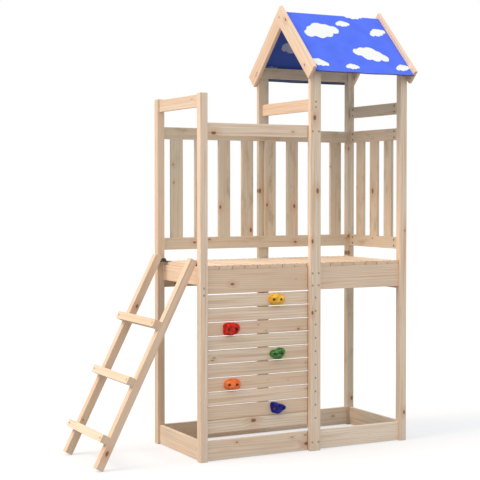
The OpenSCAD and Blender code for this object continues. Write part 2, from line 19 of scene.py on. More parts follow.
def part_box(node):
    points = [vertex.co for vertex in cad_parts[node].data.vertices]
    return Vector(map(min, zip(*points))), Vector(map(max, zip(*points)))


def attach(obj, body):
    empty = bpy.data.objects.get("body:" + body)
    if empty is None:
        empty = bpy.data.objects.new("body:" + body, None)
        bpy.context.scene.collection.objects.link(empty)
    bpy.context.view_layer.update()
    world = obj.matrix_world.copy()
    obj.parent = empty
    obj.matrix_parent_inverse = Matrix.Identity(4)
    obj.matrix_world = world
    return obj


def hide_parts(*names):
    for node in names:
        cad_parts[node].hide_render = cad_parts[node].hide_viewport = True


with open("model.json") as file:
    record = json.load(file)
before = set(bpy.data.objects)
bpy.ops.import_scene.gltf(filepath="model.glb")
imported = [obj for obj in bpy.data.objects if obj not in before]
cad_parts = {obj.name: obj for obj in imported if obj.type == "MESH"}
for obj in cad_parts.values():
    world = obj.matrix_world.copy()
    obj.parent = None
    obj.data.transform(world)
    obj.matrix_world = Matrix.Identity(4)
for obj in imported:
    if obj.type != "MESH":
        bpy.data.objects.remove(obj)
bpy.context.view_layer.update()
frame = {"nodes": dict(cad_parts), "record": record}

MM = 0.001
scene = bpy.context.scene
scene.view_settings.view_transform = "Standard"

# %% [markdown]
# ## The camera
# The picture was taken from the front left, a little over half way up, with a long lens. The place and the
# lens come from the posts' corners in the picture, so the render lies over it. The picture was cropped off
# centre, which is what the small shift stands for.

# %% Camera
PICTURE_SIDE = 480
FOCAL_LENGTH_IN_PIXELS = 1239.5
LENS_AXIS_AT = (240.9, 218.4)
SENSOR_WIDTH = 36.0
CAMERA_PLACE = (-2.7002, -5.1837, 1.2143)
CAMERA_TURN = 27.62
CAMERA_DIP = 1.33

lens = bpy.data.cameras.new("picture_lens")
lens.sensor_width = SENSOR_WIDTH
lens.lens = SENSOR_WIDTH * FOCAL_LENGTH_IN_PIXELS / PICTURE_SIDE
lens.shift_x = 0.5 - LENS_AXIS_AT[0] / PICTURE_SIDE
lens.shift_y = LENS_AXIS_AT[1] / PICTURE_SIDE - 0.5
camera = bpy.data.objects.new("picture_camera", lens)
camera.location = CAMERA_PLACE
camera.rotation_euler = (math.radians(90 - CAMERA_DIP), 0, math.radians(-CAMERA_TURN))
scene.collection.objects.link(camera)
scene.camera = camera
print("camera: lens", round(lens.lens, 1), "mm")

# %% [markdown]
# ## Wires and nodes
# A material is a small program of nodes. Adding every node and link one by one is slow to write and hard to
# read. Here a wire stands for one output of a node, and a sum of wires adds the node that works it out, so
# that a formula can be written as on paper. A wire that goes into a node is linked, any other value is set.

# %% Wires
class Wire:
    """One output of a node. Sums with it add the nodes that work them out."""

    def __init__(self, socket):
        self.socket = socket
        self.tree = socket.id_data

    def __add__(self, other):
        return calc("ADD", self, other)

    def __sub__(self, other):
        return calc("SUBTRACT", self, other)

    def __mul__(self, other):
        return calc("MULTIPLY", self, other)

    def __truediv__(self, other):
        return calc("DIVIDE", self, other)


def tree_of(values):
    """The tree in which the wires among some values lie."""
    return next(value.tree for value in values if isinstance(value, Wire))


def feed(node, values):
    """Give a node its inputs by name or number."""
    for label, value in values.items():
        if isinstance(value, Wire):
            value.tree.links.new(value.socket, node.inputs[label])
        else:
            node.inputs[label].default_value = value


def step(tree, kind, values, output=0, **settings):
    """One node with its inputs and settings; returns one of its outputs."""
    node = tree.nodes.new(kind)
    for name, setting in settings.items():
        setattr(node, name, setting)
    feed(node, values)
    return Wire(node.outputs[output])


def calc(operation, *values):
    """What a Math node makes of some values, or a Vector Math node where one of them is a vector."""
    vectors = [value for value in values if isinstance(value, Wire) and value.socket.type == "VECTOR"]
    kind = "ShaderNodeVectorMath" if vectors else "ShaderNodeMath"
    return step(tree_of(values), kind, dict(enumerate(values)), operation=operation)


print("wires ready")

# %% Common steps
def greatest(*values):
    """The largest of some values."""
    found = values[0]
    for value in values[1:]:
        found = calc("MAXIMUM", found, value)
    return found


def split(vector):
    """The three numbers of a vector."""
    node = vector.tree.nodes.new("ShaderNodeSeparateXYZ")
    feed(node, {0: vector})
    return [Wire(socket) for socket in node.outputs]


def scaled(vector, size):
    """A vector made longer or shorter."""
    return step(vector.tree, "ShaderNodeVectorMath", {0: vector, "Scale": size}, operation="SCALE")


def fade(value, start, end, low=0.0, high=1.0):
    """A smooth step from low, where the value is at start, to high, where it is at end."""
    numbers = dict(enumerate((value, start, end, low, high)))
    return step(value.tree, "ShaderNodeMapRange", numbers, interpolation_type="SMOOTHSTEP")


def mix(share, first, second):
    """Two colours mixed. The node's inputs 6 and 7 and its output 2 are the ones for colours."""
    return step(share.tree, "ShaderNodeMix", {"Factor": share, 6: first, 7: second}, 2, data_type="RGBA")


def cloudy(place, scale, detail=2.0, roughness=0.5):
    """Noise from 0 to 1, about 0.5."""
    values = {"Vector": place, "Scale": scale, "Detail": detail, "Roughness": roughness}
    return step(place.tree, "ShaderNodeTexNoise", values)


def bump(height, strength, distance):
    """A normal from a height."""
    values = {"Height": height, "Strength": strength, "Distance": distance}
    return step(height.tree, "ShaderNodeBump", values)


print("common steps ready")

# %% Groups and materials
SOCKET_KINDS = {"Local": "Vector", "Half": "Vector", "Seed": "Vector", "Note": "Vector", "Place": "Vector",
                "Colour": "Color", "Dark": "Color"}


def shader_group(takes, gives):
    """Turn a function of wires into a shader group with named inputs and outputs.

    The function's name then places the group in a material, with that material's own values.
    """
    def build(work):
        group = bpy.data.node_groups.new(work.__name__, "ShaderNodeTree")
        for labels, way in ((takes, "INPUT"), (gives, "OUTPUT")):
            for label in labels:
                kind = "NodeSocket" + SOCKET_KINDS.get(label, "Float")
                group.interface.new_socket(label, in_out=way, socket_type=kind)
        source = group.nodes.new("NodeGroupInput").outputs
        answers = work(*[Wire(source[label]) for label in takes])
        feed(group.nodes.new("NodeGroupOutput"), dict(zip(gives, answers)))

        def place(*values):
            node = tree_of(values).nodes.new("ShaderNodeGroup")
            node.node_tree = group
            feed(node, dict(enumerate(values)))
            return [Wire(socket) for socket in node.outputs]

        return place

    return build


def new_material(name):
    """A material, its tree and its Principled shader."""
    material = bpy.data.materials.new(name)
    material.use_nodes = True
    return material, material.node_tree, material.node_tree.nodes["Principled BSDF"]


def carried(tree, name, output="Vector"):
    """What a piece's mesh carries under a name."""
    return step(tree, "ShaderNodeAttribute", {}, output, attribute_name=name)


def paint(red, green, blue):
    """A colour as a paint chart gives it, from 0 to 255, turned into the shader's linear one."""
    linear = [((c / 255 + 0.055) / 1.055) ** 2.4 if c > 10 else c / 255 / 12.92 for c in (red, green, blue)]
    return (*linear, 1.0)


def between(first, second, share):
    """A plain colour between two others."""
    return tuple(a + (b - a) * share for a, b in zip(first, second))


print("groups and materials ready")

# %% [markdown]
# ## The studio
# The picture has a bare white ground and a warm, broad light from the left and above, like low sun through a
# large window, with a cool even sky for the rest: ladder-side faces are bright and yellow, front faces
# greyer, and what lies under the roof is dark. A wide sun lamp gives the warm light, and a second, much
# wider and weaker one lifts the fronts. Floor and sky show white to the camera by their own colour, and the
# floor keeps the frame's shadow.

# %% Floor, sky and lamps
WHITE = (1.0, 1.0, 1.0, 1.0)
FLOOR_SIDE = 40.0
FLOOR_COLOUR = (0.36, 0.36, 0.36, 1.0)
FLOOR_GLOW = 0.58
SKY_LEVEL = 0.93
SKY_COLOUR = (0.833, 0.916, 1.0, 1.0)
LAMP_COLOUR = (1.0, 0.747, 0.573)
# Each lamp: its strength, where its light comes from and its width in degrees.
LAMPS = {"window_light": (2.6, (-0.67, 0.05, 0.74), 36.0), "fill_light": (0.53, (-0.1, -0.95, 0.3), 110.0)}


def seen_directly(tree):
    """1 for what the camera, a reflection or glass sees, 0 for light on its way."""
    rays = ("Is Camera Ray", "Is Glossy Ray", "Is Transmission Ray")
    return greatest(*[step(tree, "ShaderNodeLightPath", {}, ray) for ray in rays])


def make_sky():
    """A cool even light that the camera sees as white."""
    world = bpy.data.worlds.new("studio_sky")
    scene.world = world
    world.use_nodes = True
    tree = world.node_tree
    light = tree.nodes["Background"]
    feed(light, {"Color": SKY_COLOUR, "Strength": SKY_LEVEL})
    white = step(tree, "ShaderNodeBackground", {"Color": WHITE, "Strength": 1.0})
    sides = {0: seen_directly(tree), 1: Wire(light.outputs[0]), 2: white}
    feed(tree.nodes["World Output"], {"Surface": step(tree, "ShaderNodeMixShader", sides)})


def make_floor():
    """A grey floor that glows just enough to look white, and keeps the shadow."""
    material, tree, shader = new_material("studio_floor")
    feed(shader, {"Base Color": FLOOR_COLOUR, "Roughness": 1.0, "Specular IOR Level": 0.0,
                  "Emission Color": WHITE, "Emission Strength": seen_directly(tree) * FLOOR_GLOW})
    half = FLOOR_SIDE / 2
    corners = [(-half, -half, 0), (half, -half, 0), (half, half, 0), (-half, half, 0)]
    mesh = bpy.data.meshes.new("studio_floor")
    mesh.from_pydata(corners, [], [(0, 1, 2, 3)])
    mesh.materials.append(material)
    floor = bpy.data.objects.new("studio_floor", mesh)
    scene.collection.objects.link(floor)


def make_lamp(name, level, comes_from, width):
    """A wide sun lamp."""
    lamp = bpy.data.lights.new(name, "SUN")
    lamp.energy = level
    lamp.color = LAMP_COLOUR
    lamp.angle = math.radians(width)
    holder = bpy.data.objects.new(name, lamp)
    holder.rotation_euler = (-Vector(comes_from)).to_track_quat("-Z", "Y").to_euler()
    scene.collection.objects.link(holder)


make_sky()
make_floor()
for name, (level, comes_from, width) in LAMPS.items():
    make_lamp(name, level, comes_from, width)
print("studio: floor, sky and", len(LAMPS), "lamps")

# %% [markdown]
# ## Planed pine
# The timbers are cut from young trees, so growth rings are a few millimetres wide, show as long lines on the
# faces and as arcs on the cut ends, and bend round brown knots. A picture of wood would repeat and would
# show no true end grain. Here each board carries notes in its mesh: where a point lies in the board, half
# the board's size, a seed of its own and the places of its larger knots. The material works the wood out
# from those, as if the board were cut from a log.

# %% Board edges, ends and painted contact shadows
END_DEPTH = (1.2 * MM, 0.3 * MM)
CONTACT_SHADOW_REACH = (5.0 * MM, 1.0 * MM)
CONTACT_SHADOW_FACE = 4.0 * MM


@shader_group(["Local", "Half"], ["Edge", "End"])
def board_edges(local, half):
    """How far a point lies from the board's nearest edge, and whether it is on a sawn end."""
    along, across, through = split(half - calc("ABSOLUTE", local))
    near = calc("MINIMUM", along, across)
    far = calc("MAXIMUM", along, across)
    return greatest(near, calc("MINIMUM", far, through)), fade(along, *END_DEPTH)


@shader_group(["Local", "Note"], ["Seam"])
def contact_shadows(local, note):
    """A thin painted contact shadow where a board goes under another timber: two places along it, and on
    which face.
    """
    along, _, through = split(local)
    first, second, side = split(note)
    gap = calc("MINIMUM", calc("ABSOLUTE", along - first), calc("ABSOLUTE", along - second))
    return [fade(gap, *CONTACT_SHADOW_REACH) * calc("GREATER_THAN", through * side, CONTACT_SHADOW_FACE)]


print("groups: board edges and timber seams")

# %% Knots
# A knot is drawn out along the board, and the pattern of small knots lies elsewhere in each board.
KNOT_STRETCH = (0.6, 1.0, 0.0)
KNOT_DRIFT = (53.0, 31.0, 0.0)
KNOT_LEAST = 2.0 * MM
KNOT_MOST = 5.0 * MM
NO_KNOT = 0.2 * MM
KNOT_NOTES = ["knot_1", "knot_2", "knot_3", "knot_4"]
# In shares of a knot's radius: how its heart and the bent grain fade, where the rim lies, how sharp it is.
HEART_FADE = (1.0, 0.45)
BENT_FADE = (4.2, 0.9)
RIM_AT = 0.65
RIM_SHARPNESS = 3.0
# How strongly a knot shows: from a radius of 1 mm to one of 6 mm.
KNOT_SHOWS = (1.0 * MM, 6.0 * MM, 0.4, 1.0)


@shader_group(["Local", "Seed", "Spacing", "Chance"], ["Distance", "Radius", "There"])
def chance_knots(local, seed, spacing, chance):
    """Small knots here and there: how far the next one lies, its radius, and whether it is there."""
    place = scaled(local * KNOT_STRETCH, calc("DIVIDE", 1.0, spacing)) + seed * KNOT_DRIFT
    cells = place.tree.nodes.new("ShaderNodeTexVoronoi")
    cells.voronoi_dimensions = "2D"
    feed(cells, {"Vector": place, "Scale": 1.0, "Randomness": 0.95})
    luck, size, _ = split(Wire(cells.outputs["Color"]))
    radius = size * (KNOT_MOST - KNOT_LEAST) + KNOT_LEAST
    return Wire(cells.outputs["Distance"]) * spacing, radius, calc("LESS_THAN", luck, chance)


@shader_group(["Local", "Note"], ["Distance", "Radius", "There"])
def noted_knot(local, note):
    """How far a knot lies that the board has a note of; a radius of 0 stands for none."""
    along, across, _ = split((local - note) * KNOT_STRETCH)
    radius = split(note)[2]
    distance = calc("SQRT", along * along + across * across)
    return distance, greatest(radius, NO_KNOT / 2), calc("GREATER_THAN", radius, NO_KNOT)


@shader_group(["Distance", "Radius", "There"], ["Knot", "Rim", "Flow"])
def knot_marks(distance, radius, there):
    """A knot's brown heart, the dark rim round it, and how far the grain bends round it."""
    share = distance / radius
    depth = there * fade(radius, *KNOT_SHOWS)
    off_rim = calc("ABSOLUTE", share - RIM_AT) * RIM_SHARPNESS
    rim = greatest(calc("SUBTRACT", 1.0, off_rim), 0.0)
    return fade(share, *HEART_FADE) * depth, rim * depth, fade(share, *BENT_FADE) * depth


print("groups: chance knots, noted knots and knot marks")

# %% Growth rings
# The heart of the log lies behind the board: how far aside, how deep, and how much it leans along the board.
PITH_SPREAD = 0.1
PITH_DEPTH = 0.024
PITH_TILT = 0.05
# Rings wander a little, bend round knots and lie elsewhere in each board.
RING_WANDER = 0.03
RING_BEND = 5 * MM
RING_DRIFT = (41.0, 29.0, 17.0)
# In shares of a year: where the dark late wood grows in, and where it stops.
LATE_WOOD_GROWS = (0.25, 0.86)
LATE_WOOD_STOPS = (1.0, 0.9)
# How often each pattern changes in a metre along, across and through a board.
WANDERING = (1.7, 11.0, 11.0)
FIBRES = (9.0, 380.0, 380.0)
TINTS = (3.0, 26.0, 26.0)
STREAKS = (2.2, 92.0, 92.0)
STAINS = (7.0, 22.0, 22.0)


@shader_group(["Local", "Seed", "Pitch", "Flow"], ["Ring", "Fibre", "Tint", "Streak", "Stain"])
def growth_rings(local, seed, pitch, flow):
    """Late wood of each year's ring, fine fibres along the board, and broader patterns of its tone."""
    drift = seed * RING_DRIFT

    def drawn_out(stretch, detail=2.0, roughness=0.5):
        return cloudy(local * stretch + drift, 1.0, detail, roughness)

    along, across, through = split(local)
    seed_x, seed_y, seed_z = split(seed)
    side = (seed_x - 0.5) * PITH_SPREAD
    lean = along * ((seed_z - 0.5) * PITH_TILT)
    wander = (drawn_out(WANDERING) - 0.5) * RING_WANDER
    flat = across + side + (lean + wander)
    deep = through + (seed_y * PITH_DEPTH + PITH_DEPTH)
    radius = calc("SQRT", flat * flat + deep * deep) + flow * RING_BEND
    year = calc("FRACT", radius / pitch)
    late = fade(year, *LATE_WOOD_GROWS) * fade(year, *LATE_WOOD_STOPS)
    return (late, drawn_out(FIBRES, detail=3.0, roughness=0.6), drawn_out(TINTS), drawn_out(STREAKS),
            drawn_out(STAINS, detail=4.0, roughness=0.6))


print("group: growth rings")

# %% Colours of pine
EARLY_WOOD = paint(236, 219, 196)
FRESH_WOOD = paint(246, 232, 210)
LATE_WOOD = paint(200, 168, 136)
ROSY_WOOD = paint(224, 194, 167)
GREY_WOOD = paint(206, 197, 177)
STAINED_WOOD = paint(160, 148, 118)
KNOT_HALO = paint(200, 154, 114)
KNOT_BROWN = paint(128, 84, 54)
KNOT_RIM = paint(92, 58, 38)
END_GRAIN = paint(204, 170, 132)
# A painted highlight along the boards' eased edges.
EDGE_HIGHLIGHT = paint(244, 226, 202)
GAP_SHADE_BROWN = paint(150, 112, 78)
CONTACT_SHADOW_BROWN = paint(120, 88, 62)
print("early wood", [round(c, 3) for c in EARLY_WOOD[:3]], "late wood", [round(c, 3) for c in LATE_WOOD[:3]])

# %% The pine itself
KNOT_SPACING = 0.11
# How far a knot's outline strays from an oval, and how often in a metre.
KNOT_WANDER = 6 * MM
KNOT_WAVES = 200.0
ROSY_SHARE = 0.7
GREY_SHARE = 0.3
# Where in a noise from 0 to 1 each pattern begins to show and where it is full.
ROSY_TINT = (0.42, 0.7)
PALE_STREAK = (0.52, 0.74)
DARK_STREAK = (0.5, 0.26)
STAIN_SHOWS = (0.52, 0.72)
FIBRE_SHOWS = (0.54, 0.74)
PAINTED_EDGE_SHOWS = (0.3, 0.6)
PAINTED_EDGE_REACH = (2.0 * MM, 0.3 * MM)
# How strongly each layer covers the ones under it.
TINT_SHARE = 0.3
RING_SHARE = 0.4
FIBRE_SHARE = 0.35
HALO_SHARE = 0.38
HEART_SHARE = 0.85
RIM_SHARE = 0.45
END_SHARE = 0.4
EDGE_HIGHLIGHT_SHARE = 0.35
CONTACT_SHADOW_SHARE = 0.75
PINE_ROUGHNESS = (0.74, 0.6)
RING_RELIEF = 0.6
GRAIN_STRENGTH = 0.3
GRAIN_DEPTH = 0.25 * MM


def make_pine(name, ring_pitch, knot_chance, streaks, greyness, freshness,
              edge_colour=EDGE_HIGHLIGHT, edge_share=EDGE_HIGHLIGHT_SHARE):
    """Pine in layers of colour, each with the share that it covers at a point."""
    material, tree, shader = new_material(name)
    local, half, seed, contact_note = (carried(tree, note) for note in ("local", "half", "seed", "contact_shade"))
    edge, end = board_edges(local, half)
    contact_shade, = contact_shadows(local, contact_note)
    knots = [chance_knots(local, seed, KNOT_SPACING, knot_chance)]
    knots += [noted_knot(local, carried(tree, note)) for note in KNOT_NOTES]
    wander = (cloudy(local, KNOT_WAVES, detail=3.0) - 0.5) * KNOT_WANDER
    marks = [knot_marks(distance + wander, radius, there) for distance, radius, there in knots]
    knot, rim, flow = (greatest(*found) for found in zip(*marks))
    ring, fibre, tint, streak, stain = growth_rings(local, seed, ring_pitch, flow)
    rosy, grey, _ = split(seed)
    # Near its edges a board gets a painted highlight in patches; the deck's planks get painted shade there
    # instead.
    painted_edge_mark = fade(edge, *PAINTED_EDGE_REACH) * fade(tint, *PAINTED_EDGE_SHOWS)
    layers = [
        (rosy * ROSY_SHARE + fade(tint, *ROSY_TINT, 0.0, TINT_SHARE), ROSY_WOOD),
        (grey * GREY_SHARE + greyness + fade(streak, *PALE_STREAK, 0.0, streaks), GREY_WOOD),
        (fade(streak, *DARK_STREAK, 0.0, streaks), LATE_WOOD),
        (fade(stain, *STAIN_SHOWS, 0.0, greyness), STAINED_WOOD),
        (ring * RING_SHARE, LATE_WOOD),
        (fade(fibre, *FIBRE_SHOWS, 0.0, FIBRE_SHARE), LATE_WOOD),
        (flow * HALO_SHARE, KNOT_HALO),
        (knot * HEART_SHARE, KNOT_BROWN),
        (rim * RIM_SHARE, KNOT_RIM),
        (end * END_SHARE, END_GRAIN),
        (painted_edge_mark * edge_share, edge_colour),
        # A painted contact shadow where a board comes out from under a middle upright.
        (contact_shade * CONTACT_SHADOW_SHARE, CONTACT_SHADOW_BROWN)]
    colour = between(EARLY_WOOD, FRESH_WOOD, freshness)
    for share, layer in layers:
        colour = mix(share, colour, layer)
    relief = ring * RING_RELIEF + fibre - rim
    feed(shader, {"Base Color": colour, "Roughness": fade(ring, 0.0, 1.0, *PINE_ROUGHNESS),
                  "Specular IOR Level": 0.25, "Normal": bump(relief, GRAIN_STRENGTH, GRAIN_DEPTH)})
    return material


# Each pine: ring width, share of small knots, strength of streaks, how grey and how fresh it is. The deck's
# planks also have dark edges, as painted shade in the gaps between them.
PINES = {"frame_pine": (7.5 * MM, 0.06, 0.6, 0.06, 0.55),
         "board_pine": (6.5 * MM, 0.1, 0.7, 0.0, 0.3),
         "guard_pine": (6.0 * MM, 0.3, 0.9, 0.7, 0.1),
         "deck_pine": (6.0 * MM, 0.3, 0.4, 0.0, 1.0),
         "plank_pine": (6.0 * MM, 0.3, 0.4, 0.0, 1.0, GAP_SHADE_BROWN, 0.8)}
pines = {name: make_pine(name, *values) for name, values in PINES.items()}
print("pine materials:", list(pines))

# %% [markdown]
# ## Timbers
# Every timber is a straight stick with eased edges. The frame's solids are already the right sticks, with
# bores for the screws. A screw fills its bore, so the seen timber is the hull of the solid: the eight
# corners of the stick, cleaned to six faces, with all edges rounded by a small bevel. The length of the
# board is the way its longest edge runs, which tells the wood its grain.

# %% Solids of a node
SAME_POINT = 0.01 * MM
FLAT_BEND = math.radians(1.0)


def merged_copy(node):
    """A copy of a node's mesh with its loose triangles joined."""
    shape = bmesh.new()
    shape.from_mesh(frame["nodes"][node].data)
    bmesh.ops.remove_doubles(shape, verts=shape.verts, dist=SAME_POINT)
    return shape


def solids_of(node):
    """The separate solids of a node, each as an array of its points."""
    shape = merged_copy(node)
    found = []
    waiting = set(shape.verts)
    while waiting:
        start = min(waiting, key=lambda v: v.index)
        group = {start}
        edge_of_group = [start]
        while edge_of_group:
            point = edge_of_group.pop()
            beside = {edge.other_vert(point) for edge in point.link_edges} - group
            group |= beside
            edge_of_group += beside
        waiting -= group
        found.append(np.array([v.co for v in sorted(group, key=lambda v: v.index)]))
    shape.free()
    return found


def hull_of(points):
    """A clean convex solid round some points, with flat faces left whole."""
    shape = bmesh.new()
    for point in points:
        shape.verts.new(point)
    made = bmesh.ops.convex_hull(shape, input=shape.verts)
    spare = {v for v in made["geom_interior"] + made["geom_unused"] if isinstance(v, bmesh.types.BMVert)}
    bmesh.ops.delete(shape, geom=list(spare), context="VERTS")
    bmesh.ops.dissolve_limit(shape, angle_limit=FLAT_BEND, verts=shape.verts, edges=shape.edges)
    bmesh.ops.recalc_face_normals(shape, faces=shape.faces)
    return shape


def ways_of(shape):
    """A stick's length, width and thickness ways as a turn, and its middle and half size along them."""
    longest = max(shape.edges, key=lambda edge: edge.calc_length())
    corner = longest.verts[0]
    along = (longest.verts[1].co - corner.co).normalized()
    sides = [edge.other_vert(corner).co - corner.co for edge in corner.link_edges if edge != longest]
    thin = min(sides, key=lambda side: (round(side.length / MM), -abs(side.y)))
    thin = (thin - along * thin.dot(along)).normalized()
    turn = Matrix((along, thin.cross(along), thin))
    places = np.array([turn @ v.co for v in shape.verts])
    low, high = places.min(0), places.max(0)
    return turn, Vector((low + high) / 2), Vector((high - low) / 2)


print("solids:", {node: len(solids_of(node)) for node in ("front_left_post", "deck_planks")})

# %% Larger knots
# A place just under the face on which each knot shows, and its radius, all in mm.
LARGE_KNOTS = [(260, -255, 1547, 9), (276, -255, 1209, 9), (249, -255, 975, 7), (249, -255, 643, 7),
               (-250, -235, 1466, 9), (157, -235, 1479, 4), (-156, -235, 790, 7), (-249, -235, 463, 4),
               (-25, -235, 601, 3), (16, -235, 570, 3), (226, -235, 410, 3), (234, -235, 290, 3),
               (-48, -235, 166, 10), (27, -235, 346, 2), (132, -235, 337, 2), (438, 228, 951, 7),
               (-44, 228, 972, 5), (-124, 228, 960, 6), (231, -235, 34, 9), (154, -235, 70, 4),
               (772, -245, 137, 7), (773, -245, 1017, 4), (772, 222, 136, 8), (752, 218, 975, 7),
               (244, 245, 1208, 9), (-302, -144, 1620, 4), (-749, -205, 77, 9), (-637, -205, 353, 7),
               (-445, 183, 669, 7), (-714, 183, 157, 4), (230, -55, 2020, 7), (230, -232, 1790, 4),
               (230, 240, 1780, 4), (765, 5, 971, 4), (15, 228, 1129, 7), (184, 228, 1015, 8),
               (276, 228, 1138, 6), (432, 228, 1131, 8), (-238, 228, 1336, 4), (762, 4, 1207, 10),
               (762, -18, 1133, 3), (752, 246, 889, 9), (752, 247, 1425, 5)]


def notes_of_knots(turn, middle, half):
    """The large knots that lie in a board: place along it, place across it and radius."""
    notes = []
    for x, y, z, radius in LARGE_KNOTS:
        spot = turn @ (Vector((x, y, z)) * MM) - middle
        if all(abs(spot[k]) < half[k] for k in range(3)):
            notes.append(Vector((spot[0], spot[1], radius * MM)))
    return notes


print("larger knots:", len(LARGE_KNOTS))

# %% Notes that a board carries
NO_CONTACT_SHADOW = Vector((0, 0, 0))
LENGTHWISE = 0.9
# How rosy and how grey some boards are, as in the picture; the others get a tone by chance. The darker tones
# of the back stringer and the back eave board are painted shade.
BOARD_TONES = {"front_left_beam": (1.0, 0.2), "front_right_beam": (0.7, 0.0), "front_left_kerb": (0.6, 0.4),
               "front_right_kerb": (0.0, 0.0), "wall_board_1": (0.1, 0.4), "wall_board_2": (0.3, 0.2),
               "wall_board_3": (1.0, 0.1), "wall_board_4": (0.2, 0.6), "wall_board_5": (0.5, 0.8),
               "front_middle_upright": (0.2, 0.3), "front_left_post": (0.4, 0.1),
               "front_right_post": (0.3, 0.2), "front_stringer": (1.0, 0.0), "back_stringer": (1.0, 0.4),
               "front_guard_rail": (0.2, 0.1), "back_left_post": (0.8, 0.6),
               "back_middle_upright": (0.0, 1.0), "tower_left_board": (1.0, 0.4),
               "back_left_rafter": (0.8, 0.5), "front_left_rafter": (0.6, 0.2),
               "back_eave_board": (1.0, 1.0)}


def seed_for(name):
    """Three numbers from 0 to 1 that stay the same for a name: rosy, grey and chance."""
    chance = random.Random(name)
    rosy, grey = BOARD_TONES.get(name, (chance.random(), chance.random()))
    return Vector((rosy, grey, chance.random()))


def note_of_contact_shadow(turn, middle, half):
    """Where a long board comes out from under its middle upright, and the face on which its painted contact
    shadow shows.
    """
    place = turn.transposed() @ middle
    low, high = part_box("front_middle_upright" if place.y < 0 else "back_middle_upright")
    edges = [(x - place.x) * turn[0].x for x in (low.x, high.x)]
    apart = abs(place.y) < high.y - low.y or min(abs(edge) for edge in edges) > half[0]
    if apart or abs(turn[0].x) < LENGTHWISE:
        return NO_CONTACT_SHADOW
    return Vector((*edges, math.copysign(1.0, place.y * turn[2].y)))


def write_note(mesh, name, values):
    """Keep a number or a vector for each point of a mesh under a name."""
    values = np.array(values, dtype=float)
    kind, field = ("FLOAT", "value") if values.ndim == 1 else ("FLOAT_VECTOR", "vector")
    mesh.attributes.new(name, kind, "POINT").data.foreach_set(field, values.ravel())


def carry_notes(mesh, turn, middle, half, seed):
    """Write into a board's mesh what the wood needs to know."""
    write_note(mesh, "local", [turn @ v.co - middle for v in mesh.vertices])
    notes = {"half": half, "seed": seed, "contact_shade": note_of_contact_shadow(turn, middle, half)}
    notes.update(zip(KNOT_NOTES, notes_of_knots(turn, middle, half)))
    for name, note in notes.items():
        write_note(mesh, name, [note] * len(mesh.vertices))


print("boards with a tone of their own:", len(BOARD_TONES))

# %% Timber pieces
EDGE_ROUND = 1.3 * MM
WALL_EDGE_ROUND = 3.0 * MM
EDGE_STEPS = 3
# Boards that are not of the plain board pine.
WOOD_OF = {
    "frame_pine": ["front_left_post", "back_left_post", "front_right_post", "front_middle_upright",
                   "front_stringer", "back_stringer", "ridge_bar"],
    # The back eave board and the back left beam are of this greyer, stained wood partly as painted shade,
    # for where they lie in shadow.
    "guard_pine": ["back_middle_upright", "back_right_post", "back_upper_rail", "back_lower_rail",
                   "right_upper_rail", "right_lower_rail", "tower_right_board", "back_eave_board",
                   "back_left_beam"],
    # The kerbs' wood is fresher and lighter as painted light, for the light that the floor throws up at
    # them.
    "deck_pine": ["left_end_kerb", "front_left_kerb", "front_right_kerb", "back_left_kerb",
                  "back_right_kerb", "ladder_end_board"]}
# The rows of boards, each with its wood and the seed of its boards' tones.
ROWS = {"deck_planks": ("plank_pine", 3), "back_slats": ("guard_pine", 4), "right_slats": ("guard_pine", 5),
        "ladder_treads": ("board_pine", 295)}


def dress(piece, slot, node=None):
    """Let a piece stand for its node, if it has one, and move with the frame."""
    scene.collection.objects.link(piece)
    if node:
        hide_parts(node)
    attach(piece, "root")


def make_timber(node):
    """A stick with eased edges and its own wood; returns how many corners it had before."""
    shape = hull_of(solids_of(node)[0])
    corners = len(shape.verts)
    turn, middle, half = ways_of(shape)
    radius = WALL_EDGE_ROUND if node.startswith("wall_board") else EDGE_ROUND
    rounded = bmesh.ops.bevel(shape, geom=shape.edges[:], offset=radius, segments=EDGE_STEPS, profile=0.5,
                              affect="EDGES", clamp_overlap=True)
    for face in rounded["faces"]:
        face.smooth = True
    mesh = bpy.data.meshes.new(node + "_timber")
    shape.to_mesh(mesh)
    shape.free()
    carry_notes(mesh, turn, middle, half, seed_for(node))
    woods = [wood for wood, nodes in WOOD_OF.items() if node in nodes]
    mesh.materials.append(pines[woods[0] if woods else "board_pine"])
    dress(bpy.data.objects.new(node + "_timber", mesh), "pine", node)
    return corners


pine_nodes = [part["node"] for part in frame["record"]["subparts"] if part["material_slot"] == "pine"]
corner_counts = [make_timber(node) for node in pine_nodes if node not in ROWS]
print("timbers:", len(corner_counts), "with corners", set(corner_counts))

# %% [markdown]
# ## Rows of boards
# The deck, the guards and the ladder repeat one board at a steady step. Modelling each by hand would work,
# but a row is a rule: one board, a count and a step. Geometry Nodes hold that rule, with the board's size,
# the step and the turn as named inputs, and give each board its own seed, so that no two have the same wood.

